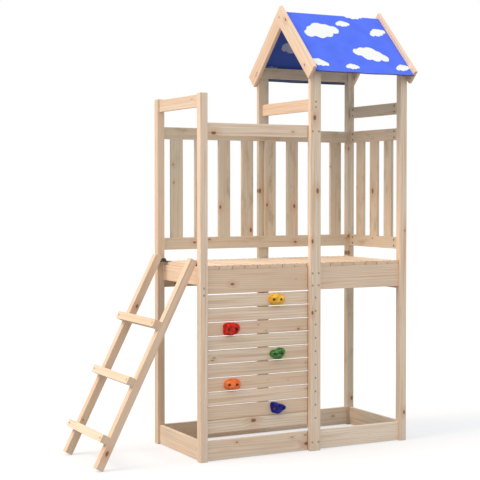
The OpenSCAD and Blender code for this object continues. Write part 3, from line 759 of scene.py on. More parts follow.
# %% Geometry trees
def geometry_tree(takes):
    """Turn a function of wires into a geometry tree with named inputs.

    What the function makes is made real and gets a material. Its name then runs the tree as a new object.
    """
    def build(work):
        tree = bpy.data.node_groups.new(work.__name__, "GeometryNodeTree")
        kinds = {"Geometry": "Geometry", **takes, "Material": "Material"}
        identifiers = {}
        for label, kind in kinds.items():
            socket = tree.interface.new_socket(label, in_out="INPUT", socket_type="NodeSocket" + kind)
            identifiers[label] = socket.identifier
        tree.interface.new_socket("Geometry", in_out="OUTPUT", socket_type="NodeSocketGeometry")
        source = tree.nodes.new("NodeGroupInput").outputs
        *inputs, material = [Wire(source[label]) for label in kinds]
        made = step(tree, "GeometryNodeRealizeInstances", {"Geometry": work(*inputs)})
        made = step(tree, "GeometryNodeSetMaterial", {"Geometry": made, "Material": material})
        feed(tree.nodes.new("NodeGroupOutput"), {"Geometry": made})

        def run(name, start_mesh, values):
            piece = bpy.data.objects.new(name, start_mesh)
            scene.collection.objects.link(piece)
            maker = piece.modifiers.new("maker", "NODES")
            maker.node_group = tree
            for label, value in values.items():
                maker[identifiers[label]] = value
            return piece

        return run

    return build


def settle(piece):
    """Turn what a piece's modifiers make into its plain mesh."""
    graph = bpy.context.evaluated_depsgraph_get()
    made = piece.evaluated_get(graph)
    plain = bpy.data.meshes.new_from_object(made, preserve_all_data_layers=True, depsgraph=graph)
    piece.modifiers.clear()
    piece.data = plain
    scene.collection.objects.unlink(piece)
    return plain


print("geometry trees ready")

# %% The tree for a row of boards
def store(geometry, name, value, domain="POINT"):
    """Keep a vector in the mesh under a name."""
    values = {"Geometry": geometry, "Name": name, "Value": value}
    return step(geometry.tree, "GeometryNodeStoreNamedAttribute", values, data_type="FLOAT_VECTOR",
                domain=domain)


def set_at(points, shape, turn, scale=(1.0, 1.0, 1.0)):
    """A shape set at every point."""
    values = {"Points": points, "Instance": shape, "Rotation": turn, "Scale": scale}
    return step(points.tree, "GeometryNodeInstanceOnPoints", values)


@geometry_tree({"Size": "Vector", "Count": "Int", "Start": "Vector", "Step": "Vector", "Turn": "Vector",
                "Seed": "Int"})
def board_row(_, size, count, start, stride, turn, seed):
    """Boards of one size at a steady step, each with a seed of its own."""
    tree = size.tree
    board = step(tree, "GeometryNodeMeshCube", {"Size": size})
    board = store(board, "local", step(tree, "GeometryNodeInputPosition", {}))
    board = store(board, "half", size * (0.5, 0.5, 0.5))
    line = step(tree, "GeometryNodeMeshLine", {"Count": count, "Start Location": start, "Offset": stride})
    turned = step(tree, "FunctionNodeEulerToRotation", {"Euler": turn})
    row = set_at(line, board, turned)
    chance = step(tree, "FunctionNodeRandomValue", {"Seed": seed}, data_type="FLOAT_VECTOR")
    return store(row, "seed", chance, "INSTANCE")


print("tree: a row of boards")

# %% Deck, guards and treads
BOARD_MARGIN = 1 * MM


def round_edges(piece, width):
    """Ease the edges of a piece whose modifiers are still live."""
    bevel = piece.modifiers.new("eased_edges", "BEVEL")
    bevel.width = width
    bevel.segments = EDGE_STEPS
    bevel.limit_method = "ANGLE"


def note_row_knots(mesh, turn, middles, half):
    """Write the large knots of each board in a row into that board's points."""
    places = np.array([turn @ v.co for v in mesh.vertices])
    notes = np.zeros((len(KNOT_NOTES), len(places), 3))
    for middle in middles:
        inside = (np.abs(places - np.array(middle)) < np.array(half) + BOARD_MARGIN).all(1)
        for number, knot in enumerate(notes_of_knots(turn, middle, half)):
            notes[number, inside] = knot
    for name, values in zip(KNOT_NOTES, notes):
        write_note(mesh, name, values)


def make_row(node, wood, seed):
    """A row of boards at the places of a node's solids."""
    boards = []
    for points in solids_of(node):
        shape = hull_of(points)
        boards.append(ways_of(shape))
        shape.free()
    turn, _, half = boards[0]
    middles = sorted(tuple(own_turn.transposed() @ middle) for own_turn, middle, _ in boards)
    first, last = Vector(middles[0]), Vector(middles[-1])
    piece = board_row(node + "_row", bpy.data.meshes.new(node), {
        "Size": half * 2, "Count": len(boards), "Start": first, "Step": (last - first) / (len(boards) - 1),
        "Turn": Vector(turn.transposed().to_euler()), "Seed": seed, "Material": pines[wood]})
    round_edges(piece, EDGE_ROUND)
    mesh = settle(piece)
    note_row_knots(mesh, turn, [turn @ Vector(middle) for middle in middles], half)
    dress(piece, "pine", node)
    print(node, len(boards), "boards of", [round(2 * side, 4) for side in half], "faces", len(mesh.polygons))


for node, (wood, seed) in ROWS.items():
    make_row(node, wood, seed)

# %% [markdown]
# ## Climbing holds
# A hold is a lump of moulded plastic about as large as a child's hand, with two sunk bolts. One formula
# gives all five: an outline of a few radii round the middle, a dome that rises steeply from the wall, and
# low lumps and dips on top for the fingers. The bolt pockets are bored by a boolean, as a mould's pins do.

# %% Moulded plastic
SWIRLS = 70.0
PEBBLES = 900.0
LUMP_HEIGHT = 22.0
PAINTED_HOLLOW_SHADE = (0.56, 0.38, 0.0, 0.7)
SWIRL_GLOSS = (0.3, 0.7, 0.36, 0.24)
SKIN_STRENGTH = 0.25
SKIN_DEPTH = 0.2 * MM


@shader_group(["Place", "Colour", "Dark"], ["Colour", "Gloss", "Height"])
def moulded_skin(place, colour, dark):
    """Cloudy colour, darker in the hollows, partly the plastic's own swirl and partly painted shade, with
    low lumps and a fine pebbled skin, as textured plastic has.
    """
    swirl = cloudy(place, SWIRLS)
    shaded_hollows = mix(fade(swirl, *PAINTED_HOLLOW_SHADE), colour, dark)
    return shaded_hollows, fade(swirl, *SWIRL_GLOSS), swirl * LUMP_HEIGHT + cloudy(place, PEBBLES)


def make_plastic(name, colour, dark):
    """Plastic with a colour, and a darker one painted into its hollows as shade."""
    material, tree, shader = new_material(name)
    place = step(tree, "ShaderNodeTexCoord", {}, "Object")
    colour, gloss, height = moulded_skin(place, colour, dark)
    feed(shader, {"Base Color": colour, "Roughness": gloss, "Specular IOR Level": 0.22, "Coat Weight": 0.05,
                  "Coat Roughness": 0.12, "Normal": bump(height, SKIN_STRENGTH, SKIN_DEPTH)})
    return material


print("group: moulded skin")

# %% Shape of a hold
DOME_POWER = 0.5
RIM_POINTS = 72
DOME_RINGS = 22


def round_outline(radii, turn):
    """A smooth closed outline through evenly spread radii, at a share of a full turn."""
    spot = turn * len(radii)
    index = int(spot)
    share = spot - index
    before, here, after, beyond = (radii[(index + k) % len(radii)] for k in (-1, 0, 1, 2))
    return 0.5 * (2 * here + (after - before) * share
                  + (2 * before - 5 * here + 4 * after - beyond) * share ** 2
                  + (3 * here - before - 3 * after + beyond) * share ** 3)


def dome_points(radii, lumps):
    """Points of a lump from its rim to its crown, in shares of its half width, half height and reach."""
    points = []
    for ring in range(DOME_RINGS):
        rise = math.pi / 2 * ring / DOME_RINGS
        for k in range(RIM_POINTS):
            angle = 2 * math.pi * k / RIM_POINTS
            reach = round_outline(radii, k / RIM_POINTS) * math.cos(rise) ** DOME_POWER
            points.append((reach * math.cos(angle), reach * math.sin(angle), math.sin(rise) ** DOME_POWER))
    points.append((0.0, 0.0, 1.0))
    points = np.array(points)
    swell = np.ones(len(points))
    for x, y, width, amount in lumps:
        swell += amount * np.exp(-((points[:, 0] - x) ** 2 + (points[:, 1] - y) ** 2) / width ** 2)
    points[:, 2] *= swell
    low, high = points.min(0), points.max(0)
    return (points - (low + high) / 2) / (high - low) * 2


def dome_faces():
    """Rings of faces from the rim up, a fan at the crown and the flat back."""
    faces = []
    for ring in range(DOME_RINGS - 1):
        near, far = ring * RIM_POINTS, (ring + 1) * RIM_POINTS
        for k in range(RIM_POINTS):
            beside = (k + 1) % RIM_POINTS
            faces.append((near + k, near + beside, far + beside, far + k))
    last = (DOME_RINGS - 1) * RIM_POINTS
    crown = DOME_RINGS * RIM_POINTS
    faces += [(last + k, last + (k + 1) % RIM_POINTS, crown) for k in range(RIM_POINTS)]
    faces.append(tuple(range(RIM_POINTS - 1, -1, -1)))
    return faces


print("a hold before its pockets:", len(dome_faces()), "faces")

# %% Bolt pockets
POCKET_SEAT = 16 * MM
POCKET_RADIUS = 6.7 * MM
POCKET_SIDES = 32
CUTTER_OVERRUN = 10 * MM
SHARP_BEND = math.radians(38.0)
SAME_RIM_POINT = 0.005 * MM
SHORTEST_BOLT = 20 * MM


def close_and_turn_out(mesh):
    """Merge doubles, point all faces outwards and keep sharp bends sharp."""
    shape = bmesh.new()
    shape.from_mesh(mesh)
    bmesh.ops.remove_doubles(shape, verts=shape.verts, dist=SAME_RIM_POINT)
    bmesh.ops.recalc_face_normals(shape, faces=shape.faces)
    for face in shape.faces:
        face.smooth = True
    for edge in shape.edges:
        edge.smooth = edge.calc_face_angle(math.pi) < SHARP_BEND
    shape.to_mesh(mesh)
    shape.free()


def bore_pockets(piece, places, wall_y, front_y):
    """Cut the round bolt pockets from their seats out through the plastic."""
    shape = bmesh.new()
    out = front_y - CUTTER_OVERRUN
    seat = wall_y - POCKET_SEAT
    for x, z in places:
        middle = Matrix.Translation((x, (seat + out) / 2, z)) @ Matrix.Rotation(math.pi / 2, 4, "X")
        bmesh.ops.create_cone(shape, cap_ends=True, segments=POCKET_SIDES, radius1=POCKET_RADIUS,
                              radius2=POCKET_RADIUS, depth=seat - out, matrix=middle)
    cutter_mesh = bpy.data.meshes.new("pocket_cutter")
    shape.to_mesh(cutter_mesh)
    shape.free()
    cutter = bpy.data.objects.new("pocket_cutter", cutter_mesh)
    scene.collection.objects.link(cutter)
    bore = piece.modifiers.new("pockets", "BOOLEAN")
    bore.operation = "DIFFERENCE"
    bore.solver = "EXACT"
    bore.object = cutter
    mesh = settle(piece)
    bpy.data.objects.remove(cutter)
    return mesh


bolts_and_nuts = solids_of("hold_bolts")
bolts = [solid for solid in bolts_and_nuts if np.ptp(solid[:, 1]) > SHORTEST_BOLT]
print("bolts:", len(bolts), "of", len(bolts_and_nuts), "solids")

# %% The five holds
# A hold's back is narrower than its room, its face leans to the right, and the orange one is less tall.
BASE_SHARE = 0.9
LEAN = 5 * MM
LOW_HOLDS = {"orange": 0.86}
# Two colours, the plastic's own and the painted shade of its hollows, then outline radii anticlockwise from
# the
# right, then lumps: x, y, width and amount, all in shares of the hold's half size.
HOLDS = {
    "yellow": (
        paint(240, 188, 70), paint(206, 146, 34),
        [1.0, 0.98, 0.94, 0.9, 0.88, 0.9, 0.96, 1.0, 1.0, 0.98, 0.92, 0.88, 0.86, 0.88, 0.94, 0.98],
        [(-0.1, -0.35, 0.3, 0.2), (0.55, 0.1, 0.3, 0.12), (-0.6, 0.2, 0.3, 0.14), (0.1, 0.5, 0.3, -0.1)]),
    "red": (
        paint(210, 28, 6), paint(100, 2, 0),
        [1.0, 1.02, 1.06, 0.98, 0.92, 1.02, 1.14, 1.06, 0.94, 1.06, 1.16, 1.02, 0.94, 0.92, 0.92, 0.94],
        [(-0.7, 0.6, 0.35, 0.25), (-0.7, -0.6, 0.35, 0.4), (0.3, -0.2, 0.3, 0.2), (0.5, 0.5, 0.4, 0.1)]),
    "green": (
        paint(70, 138, 66), paint(14, 60, 16),
        [0.98, 1.06, 1.1, 0.98, 0.66, 0.68, 0.86, 0.98, 1.0, 0.96, 0.88, 0.86, 0.88, 0.86, 0.84, 0.9],
        [(0.5, 0.55, 0.35, 0.4), (-0.55, 0.0, 0.35, 0.3), (0.1, -0.6, 0.3, 0.2), (0.0, 0.2, 0.25, -0.2)]),
    "orange": (
        paint(232, 120, 56), paint(208, 84, 26),
        [1.02, 1.06, 1.08, 0.96, 0.9, 0.92, 0.96, 0.98, 1.0, 1.02, 1.06, 0.98, 0.92, 0.94, 1.06, 1.06],
        [(-0.5, -0.4, 0.4, 0.3), (0.45, 0.1, 0.35, 0.3), (-0.1, 0.55, 0.35, -0.16), (0.6, -0.6, 0.3, 0.2)]),
    "blue": (
        paint(5, 17, 142), paint(1, 1, 54),
        [1.04, 0.86, 0.68, 0.62, 0.66, 0.9, 1.1, 1.0, 0.88, 0.9, 0.98, 1.0, 0.98, 0.84, 0.78, 0.96],
        [(-0.6, 0.6, 0.35, 0.35), (0.6, 0.0, 0.4, 0.2), (-0.2, -0.6, 0.35, 0.3), (0.1, 0.15, 0.25, -0.25)]),
}


def make_hold(colour_name, material, radii, lumps):
    """A moulded lump fitted to its node's box, with pockets for the bolts that pass through it."""
    node = colour_name + "_hold"
    low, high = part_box(node)
    half = (high - low) / 2
    base = half.x * BASE_SHARE
    tall = half.z * LOW_HOLDS.get(colour_name, 1.0)
    points = [(high.x - base + base * a + LEAN * (1 + out) / 2, high.y - half.y * (1 + out),
               low.z + half.z + tall * b) for a, b, out in dome_points(radii, lumps)]
    mesh = bpy.data.meshes.new(node)
    mesh.from_pydata(points, [], dome_faces())
    mesh.materials.append(material)
    close_and_turn_out(mesh)
    piece = bpy.data.objects.new(node + "_moulding", mesh)
    scene.collection.objects.link(piece)
    places = [(x, z) for x, _, z in (bolt.mean(0) for bolt in bolts)
              if low.x < x < high.x and low.z < z < high.z]
    mesh = bore_pockets(piece, places, high.y, low.y)
    close_and_turn_out(mesh)
    dress(piece, colour_name + "_plastic", node)
    print(node, "pockets", len(places), "faces", len(mesh.polygons))


for colour_name, (colour, dark, radii, lumps) in HOLDS.items():
    make_hold(colour_name, make_plastic(colour_name + "_plastic", colour, dark), radii, lumps)

# %% [markdown]
# ## Wood screws
# Zinc-plated wood screws hold the boards together. Copying a screw by hand to every place is slow, and a
# flat picture of a head would not catch the light. There are dozens, all alike, so Geometry Nodes set one
# screw at each place that the frame gives. A place is a point with the way that the head faces and the
# screw's length. The cross in a head is cut by a boolean inside the tree.

# %% Steel finishes
STAIN_SCALE = 240.0
STAIN_DARKENS = (0.4, 0.7)
SCUFF_SCALE = 700.0
SCUFF_STRETCH = (1.0, 1.0, 6.0)
SCUFF_DULLS = (0.3, 0.7)
SCUFF_STRENGTH = 0.2
SCUFF_DEPTH = 0.1 * MM


def make_steel(name, colour, dark, metallic, roughness):
    """Plated or coated steel with faint stains and scuffs."""
    material, tree, shader = new_material(name)
    place = step(tree, "ShaderNodeTexCoord", {}, "Object")
    stain = cloudy(place, STAIN_SCALE, detail=4.0)
    scuff = cloudy(place * SCUFF_STRETCH, SCUFF_SCALE)
    feed(shader, {"Base Color": mix(fade(stain, *STAIN_DARKENS), colour, dark), "Metallic": metallic,
                  "Roughness": fade(scuff, *SCUFF_DULLS, *roughness),
                  "Normal": bump(scuff, SCUFF_STRENGTH, SCUFF_DEPTH)})
    return material


# Each steel: its colour, that of its stains, how metallic it is, and its least and most roughness.
# The zinc and the bolt steel are darker than bare steel, partly as painted shade: for the shadow round each
# screw head, and in the holds' bolt pockets.
STEELS = {"zinc_steel": (paint(158, 147, 128), paint(122, 112, 95), 0.5, (0.4, 0.6)),
          "bolt_steel": (paint(106, 92, 70), paint(78, 66, 50), 0.3, (0.45, 0.65)),
          "dark_steel": (paint(62, 54, 48), paint(38, 33, 30), 0.0, (0.42, 0.62))}
steels = {name: make_steel(name, *values) for name, values in STEELS.items()}
print("steel:", list(steels))

# %% Turned and cut solids
def noted(tree, name, kind):
    """What the points of a tree carry under a name."""
    return step(tree, "GeometryNodeInputNamedAttribute", {"Name": name}, "Attribute", data_type=kind)


def aimed(way):
    """The turn that makes +Z run along a way."""
    return step(way.tree, "FunctionNodeAlignRotationToVector", {"Vector": way}, axis="Z")


def combined(tree, x, y, z):
    """A vector from three numbers."""
    return step(tree, "ShaderNodeCombineXYZ", {"X": x, "Y": y, "Z": z})


def raised(geometry, z):
    """A shape moved up, or down where z is negative."""
    move = combined(geometry.tree, 0.0, 0.0, z)
    return step(geometry.tree, "GeometryNodeTransform", {"Geometry": geometry, "Translation": move})


def joined(*parts):
    """Shapes put together, each still a shell of its own."""
    node = parts[0].tree.nodes.new("GeometryNodeJoinGeometry")
    for part in parts:
        feed(node, {"Geometry": part})
    return Wire(node.outputs[0])


def carved(operation, tools, body=None):
    """Solids made one, or cut from a body."""
    node = tools[0].tree.nodes.new("GeometryNodeMeshBoolean")
    node.operation = operation
    node.solver = "EXACT"
    if body:
        feed(node, {"Mesh 1": body})
    for tool in tools:
        feed(node, {"Mesh 2": tool})
    return Wire(node.outputs[0])


def drum(sides, bottom_radius, top_radius, height):
    """A drum or a cone that stands on z = 0."""
    return step(bottom_radius.tree, "GeometryNodeMeshCone", {
        "Vertices": sides, "Radius Top": top_radius, "Radius Bottom": bottom_radius, "Depth": height})


print("turned and cut solids ready")

# %% The tree for a screw at each point
# A head's shoulder and crown are shares of its radius. The shank starts inside the cone under the head.
HEAD_SIDES = 20
SHANK_SIDES = 10
SHOULDER_SHARE = 0.92
CROWN_SHARE = 0.5
SHANK_STARTS = 0.8
MOST_SPIN = 1.5
SPIN_SEED = 5
SCREW_SIZES = {"Head Diameter": 10.0 * MM, "Head Height": 2.6 * MM, "Shank Diameter": 4.5 * MM,
               "Proud": 0.8 * MM, "Cross Length": 5.0 * MM, "Cross Width": 1.3 * MM, "Cross Depth": 2.4 * MM}


@geometry_tree(dict.fromkeys(SCREW_SIZES, "Float"))
def wood_screws(points, head_diameter, head_height, shank_diameter, proud, cross_length, cross_width,
                cross_depth):
    """A head with a cut cross, spun by chance, and a shank of the length that each point gives."""
    tree = points.tree
    head_radius = head_diameter * 0.5
    shank_radius = shank_diameter * 0.5
    shoulder = head_radius * SHOULDER_SHARE
    tier = proud * 0.5
    cone = raised(drum(HEAD_SIDES, shank_radius, head_radius, head_height), head_height * -1.0)
    skirt = drum(HEAD_SIDES, head_radius, shoulder, tier)
    crown = raised(drum(HEAD_SIDES, shoulder, head_radius * CROWN_SHARE, tier), tier)
    # The upper half of each bar of the cross stands clear of the head.
    bars = [step(tree, "GeometryNodeMeshCube", {"Size": combined(tree, *sides, cross_depth * 2.0)})
            for sides in ((cross_length, cross_width), (cross_width, cross_length))]
    head = carved("DIFFERENCE", [raised(bar, proud) for bar in bars], carved("UNION", [skirt, crown, cone]))
    way = noted(tree, "way", "FLOAT_VECTOR")
    turn = aimed(way)
    chance = step(tree, "FunctionNodeRandomValue", {
        "Min": (0.0, 0.0, 0.0), "Max": (0.0, 0.0, MOST_SPIN), "Seed": SPIN_SEED}, data_type="FLOAT_VECTOR")
    spin = step(tree, "FunctionNodeEulerToRotation", {"Euler": chance})
    spun = step(tree, "FunctionNodeRotateRotation", {"Rotation": turn, "Rotate By": spin},
                rotation_space="LOCAL")
    heads = set_at(points, head, spun)
    start = head_height * SHANK_STARTS
    sunk = step(tree, "GeometryNodeSetPosition", {"Geometry": points, "Offset": scaled(way, start * -1.0)})
    shank = raised(drum(SHANK_SIDES, shank_radius, shank_radius, 1.0), -1.0)
    stretch = combined(tree, 1.0, 1.0, noted(tree, "length", "FLOAT") - start)
    return joined(heads, set_at(sunk, shank, turn, stretch))


print("tree: wood screws with", len(SCREW_SIZES), "sizes")

# %% Screws in their places
HEAD_FACE = 0.1 * MM


def aim_of(solid):
    """The middle of a fastener's head, the way the head faces, and the fastener's length."""
    middle = solid.mean(0)
    way = np.linalg.svd(solid - middle)[2][0]
    along = (solid - middle) @ way
    aside = np.linalg.norm(solid - middle - np.outer(along, way), axis=1)
    if along[aside.argmax()] < (along.max() + along.min()) / 2:
        way, along = -way, -along
    head = solid[along > along.max() - HEAD_FACE].mean(0)
    return head, way, np.ptp(along)


def places_mesh(name, aims):
    """Points with the way and the length of a fastener at each."""
    heads, ways, lengths = zip(*aims)
    mesh = bpy.data.meshes.new(name)
    mesh.from_pydata([tuple(head) for head in heads], [], [])
    write_note(mesh, "way", ways)
    write_note(mesh, "length", lengths)
    return mesh


for node in ("frame_screws", "deck_screws"):
    places = places_mesh(node, [aim_of(solid) for solid in solids_of(node)])
    piece = wood_screws(node + "_driven", places, {**SCREW_SIZES, "Material": steels["zinc_steel"]})
    mesh = settle(piece)
    dress(piece, "zinc_steel", node)
    print(node, "faces", len(mesh.polygons))

# %% [markdown]
# ## Small screws in the right guard
# The boards between the right posts show two dark screw heads near each end, on the side of the deck. They
# are too small to matter to the frame, so their places are worked out here from the boards' own boxes. The
# same tree makes them, shorter, flatter and of a darker steel, which is painted shade for the shadow that
# they lie in.

# %% Small screws in the right guard
GUARD_SCREW_FRONT = 35 * MM
GUARD_SCREW_BACK = 27 * MM
GUARD_SCREW_LENGTH = 12 * MM
GUARD_SCREW_PROUD = 0.6 * MM
GUARD_SCREW_HEIGHTS = (0.24, 0.76)
TOWARDS_DECK = np.array([-1.0, 0.0, 0.0])


def guard_screw_aims():
    """Two short screws near each end of the boards between the right posts, on their deck side."""
    aims = []
    for node in ("tower_right_board", "right_upper_rail", "right_lower_rail"):
        low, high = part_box(node)
        for y in (low.y + GUARD_SCREW_FRONT, high.y - GUARD_SCREW_BACK):
            for share in GUARD_SCREW_HEIGHTS:
                head = np.array([low.x, y, low.z + share * (high.z - low.z)])
                aims.append((head, TOWARDS_DECK, GUARD_SCREW_LENGTH))
    return aims


# Their dark steel is painted shade.
guard_screws = wood_screws("guard_screws_driven", places_mesh("guard_screws", guard_screw_aims()),
                           {**SCREW_SIZES, "Proud": GUARD_SCREW_PROUD, "Material": steels["dark_steel"]})
settle(guard_screws)
dress(guard_screws, "dark_steel")
print("guard screws: faces", len(guard_screws.data.polygons))

# %% [markdown]
# ## Bolts and nuts of the holds
# Two socket bolts hold each climbing hold, with a nut behind the wall. A lathe profile could give the
# round parts, but the hexagon socket and the nut's bore are cuts. So drums are made one and then cut by
# booleans, once, and the finished pair is set at every place, as the screws are.

# %% The tree for a bolt and its nut
BOLT_HEAD_SIDES = 24
BOLT_SIDES = 12
NUT_BORE_SIDES = 16
HEXAGON = 6
BOLT_HEAD_TAPER = 0.94
SOCKET_DEPTH = 0.6
NUT_PLAY = 0.1 * MM
bolt_length = float(np.ptp(bolts[0][:, 1]))
BOLT_SIZES = {"Head Diameter": 13 * MM, "Head Height": 8 * MM, "Socket Width": 7 * MM,
              "Shank Diameter": 8 * MM, "Nut Width": 15 * MM, "Nut Height": 6.5 * MM, "Length": bolt_length}


@geometry_tree(dict.fromkeys(BOLT_SIZES, "Float"))
def hold_bolts_and_nuts(points, head_diameter, head_height, socket_width, shank_diameter, nut_width,
                        nut_height, length):
    """A bolt with a hexagon socket at each point, and a bored nut at its end."""
    diameters = (head_diameter, socket_width, shank_diameter, nut_width)
    head_radius, socket_radius, shank_radius, nut_radius = [diameter * 0.5 for diameter in diameters]
    end = length * -1.0
    head = raised(drum(BOLT_HEAD_SIDES, head_radius, head_radius * BOLT_HEAD_TAPER, head_height),
                  head_height * -1.0)
    shank = raised(drum(BOLT_SIDES, shank_radius, shank_radius, length - head_height), end)
    socket = raised(drum(HEXAGON, socket_radius, socket_radius, head_height), head_height * -SOCKET_DEPTH)
    bolt = carved("DIFFERENCE", [socket], carved("UNION", [head, shank]))
    bore_radius = shank_radius + NUT_PLAY
    # The bore's cutter runs past the nut on both sides by the nut's own height.
    bore = raised(drum(NUT_BORE_SIDES, bore_radius, bore_radius, nut_height * 3.0), nut_height * -1.0)
    nut = carved("DIFFERENCE", [bore], drum(HEXAGON, nut_radius, nut_radius, nut_height))
    turn = aimed(noted(points.tree, "way", "FLOAT_VECTOR"))
    return set_at(points, joined(bolt, raised(nut, end)), turn)


print("tree: bolts and nuts with", len(BOLT_SIZES), "sizes")

# %% Bolts and nuts in their places
bolt_places = places_mesh("hold_bolts", [aim_of(bolt) for bolt in bolts])
bolt_piece = hold_bolts_and_nuts("hold_bolts_tightened", bolt_places,
                                 {**BOLT_SIZES, "Material": steels["bolt_steel"]})
bolt_mesh = settle(bolt_piece)
dress(bolt_piece, "zinc_steel", "hold_bolts")
print("bolts of", round(bolt_length, 4), "m, faces", len(bolt_mesh.polygons))

# %% [markdown]
# ## Ladder brackets
# Two bent steel angles hold the ladder's head to the deck. The frame's solids have their true shape
# already, bores and all, so nothing is built again. A merged copy only has its long edges eased, which
# then catch the light as those of bent plate do.

# %% Ladder brackets
BRACKET_EDGE = 0.5 * MM
BRACKET_EDGE_STEPS = 2
SHORTEST_EASED = 4 * MM
EASED_BEND = math.radians(25.0)


def make_brackets():
    """The bent steel angles, with their long edges eased."""
    shape = merged_copy("ladder_brackets")
    bmesh.ops.dissolve_limit(shape, angle_limit=FLAT_BEND, verts=shape.verts, edges=shape.edges)
    long_edges = [edge for edge in shape.edges
                  if edge.calc_length() > SHORTEST_EASED and edge.calc_face_angle(0.0) > EASED_BEND]
    bmesh.ops.bevel(shape, geom=long_edges, offset=BRACKET_EDGE, segments=BRACKET_EDGE_STEPS, profile=0.5,
                    affect="EDGES", clamp_overlap=True)
    mesh = bpy.data.meshes.new("ladder_brackets_coated")
    shape.to_mesh(mesh)
    shape.free()
    mesh.materials.append(steels["dark_steel"])
    dress(bpy.data.objects.new("ladder_brackets_coated", mesh), "dark_steel", "ladder_brackets")
    print("brackets: faces", len(mesh.polygons))


make_brackets()

# %% [markdown]
# ## The cloth roof
# One sheet of printed cloth runs from eave to eave over the ridge, pulled flat between the gables, with a
# hem all round. It could be simulated, but a stretched sheet barely moves, so it is laid by formula: a tight
# fold over the ridge bar, two slopes that sag a little between the rafters that hold their side edges, and a
# faint wave along the free lower edges.

# %% Sizes of the sheet
CLOTH_THICK = 0.9 * MM
FOLD_RADIUS = 7.55 * MM
# The cloth lies flat on the ridge bar and this far beyond it, and sags only below that.
BAR_ROOM = 6 * MM

cloth_low, cloth_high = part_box("roof_cloth")
ridge_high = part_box("ridge_bar")[1]
rafter = hull_of(solids_of("front_left_rafter")[0])
rafter_way = ways_of(rafter)[0][0]
rafter.free()
slope = math.atan2(abs(rafter_way.z), abs(rafter_way.y))
cloth_width = cloth_high.x - cloth_low.x
fold_middle_z = cloth_high.z - CLOTH_THICK / 2 - FOLD_RADIUS
fold_half = FOLD_RADIUS * slope


def run_down_to(y):
    """How far down the slope, from the end of the fold, a place at y lies."""
    return (y - FOLD_RADIUS * math.sin(slope)) / math.cos(slope)


slope_length = run_down_to(cloth_high.y)
cloth_half = fold_half + slope_length
sag_starts = run_down_to(ridge_high.y) + BAR_ROOM
print("cloth", round(cloth_width, 4), "by", round(2 * cloth_half, 4), "m")
print("slope", round(math.degrees(slope), 2), "degrees")

# %% Shape of the sheet
SAG = 3.0 * MM
SAG_TURN = 0.72 * math.pi
WAVE = 1.2 * MM
WAVE_TURN = 5 * math.pi
GRID = 5.0 * MM


def cloth_point(x, run, under=0.0):
    """A point of the sheet: x along the ridge, run from the ridge down, negative to the front."""
    side = math.copysign(1.0, run)
    down = max(abs(run) - fold_half, 0.0)
    turn = min(abs(run) / FOLD_RADIUS, slope)
    y = FOLD_RADIUS * math.sin(turn) + down * math.cos(slope)
    z = fold_middle_z + FOLD_RADIUS * math.cos(turn) - down * math.sin(slope)
    share = (x - cloth_low.x) / cloth_width
    below = max(0.0, (down - sag_starts) / (slope_length - sag_starts))
    free = math.sin(math.pi * share)
    sink = under + SAG * free * math.sin(SAG_TURN * below) ** 2
    sink += WAVE * free * below ** 3 * math.sin(WAVE_TURN * share + side)
    y -= sink * math.sin(turn)
    z -= sink * math.cos(turn)
    return x, side * y, z


def sheet_mesh(name, x_start, x_end, run_start, run_end, under=0.0):
    """A grid of the sheet between two places along the ridge and two down the slopes, and its flat spots."""
    columns = max(2, round((x_end - x_start) / GRID))
    rows = max(2, round((run_end - run_start) / GRID))
    spots = [(x_start + (x_end - x_start) * i / columns, run_start + (run_end - run_start) * j / rows)
             for j in range(rows + 1) for i in range(columns + 1)]
    faces = []
    for j in range(rows):
        for i in range(columns):
            corner = j * (columns + 1) + i
            faces.append((corner, corner + 1, corner + columns + 2, corner + columns + 1))
    mesh = bpy.data.meshes.new(name)
    mesh.from_pydata([cloth_point(x, run, under) for x, run in spots], [], faces)
    layer = mesh.uv_layers.new(name="cloth")
    for loop in mesh.loops:
        layer.data[loop.index].uv = spots[loop.vertex_index]
    for face in mesh.polygons:
        face.use_smooth = True
    return mesh, np.array(spots)


print("the sheet's ridge line lies at", [round(c, 4) for c in cloth_point(cloth_low.x, 0.0)])

# %% [markdown]
# ## The print
# The cloth is printed with a plain summer sky of puffy clouds. A painted picture would blur from near by.
# Here a cloud is a few rounds that overlap, and each point of the cloth keeps its distance to the nearest
# cloud's outline, which gives the material a crisp edge at any size.

# %% Clouds
# Each cloud: place along the ridge and down the slope, as shares from -1 to 1, its width in mm and its lean.
CLOUDS = [(-0.42, -0.32, 205, 16), (0.34, -0.68, 185, -14), (0.78, -0.28, 104, 22), (0.12, -0.16, 82, 8),
          (-0.84, -0.86, 96, -10), (0.86, -0.88, 84, 14), (-0.2, -0.9, 76, 6), (0.46, 0.0, 104, 6),
          (-0.35, 0.42, 200, -18), (0.5, 0.3, 124, 14), (0.2, 0.78, 172, 20), (-0.78, 0.82, 104, -8),
          (0.86, 0.72, 90, 18), (-0.82, 0.14, 80, 12)]
# Puffs of a cloud: place along it, height over its base line and radius, in shares of its width.
PUFFS = [(-0.38, 0.02, 0.13), (-0.2, 0.07, 0.19), (0.0, 0.1, 0.23), (0.2, 0.06, 0.18), (0.37, 0.0, 0.14),
         (-0.1, -0.04, 0.17), (0.12, -0.05, 0.16)]
FAR_FROM_CLOUDS = 1.0


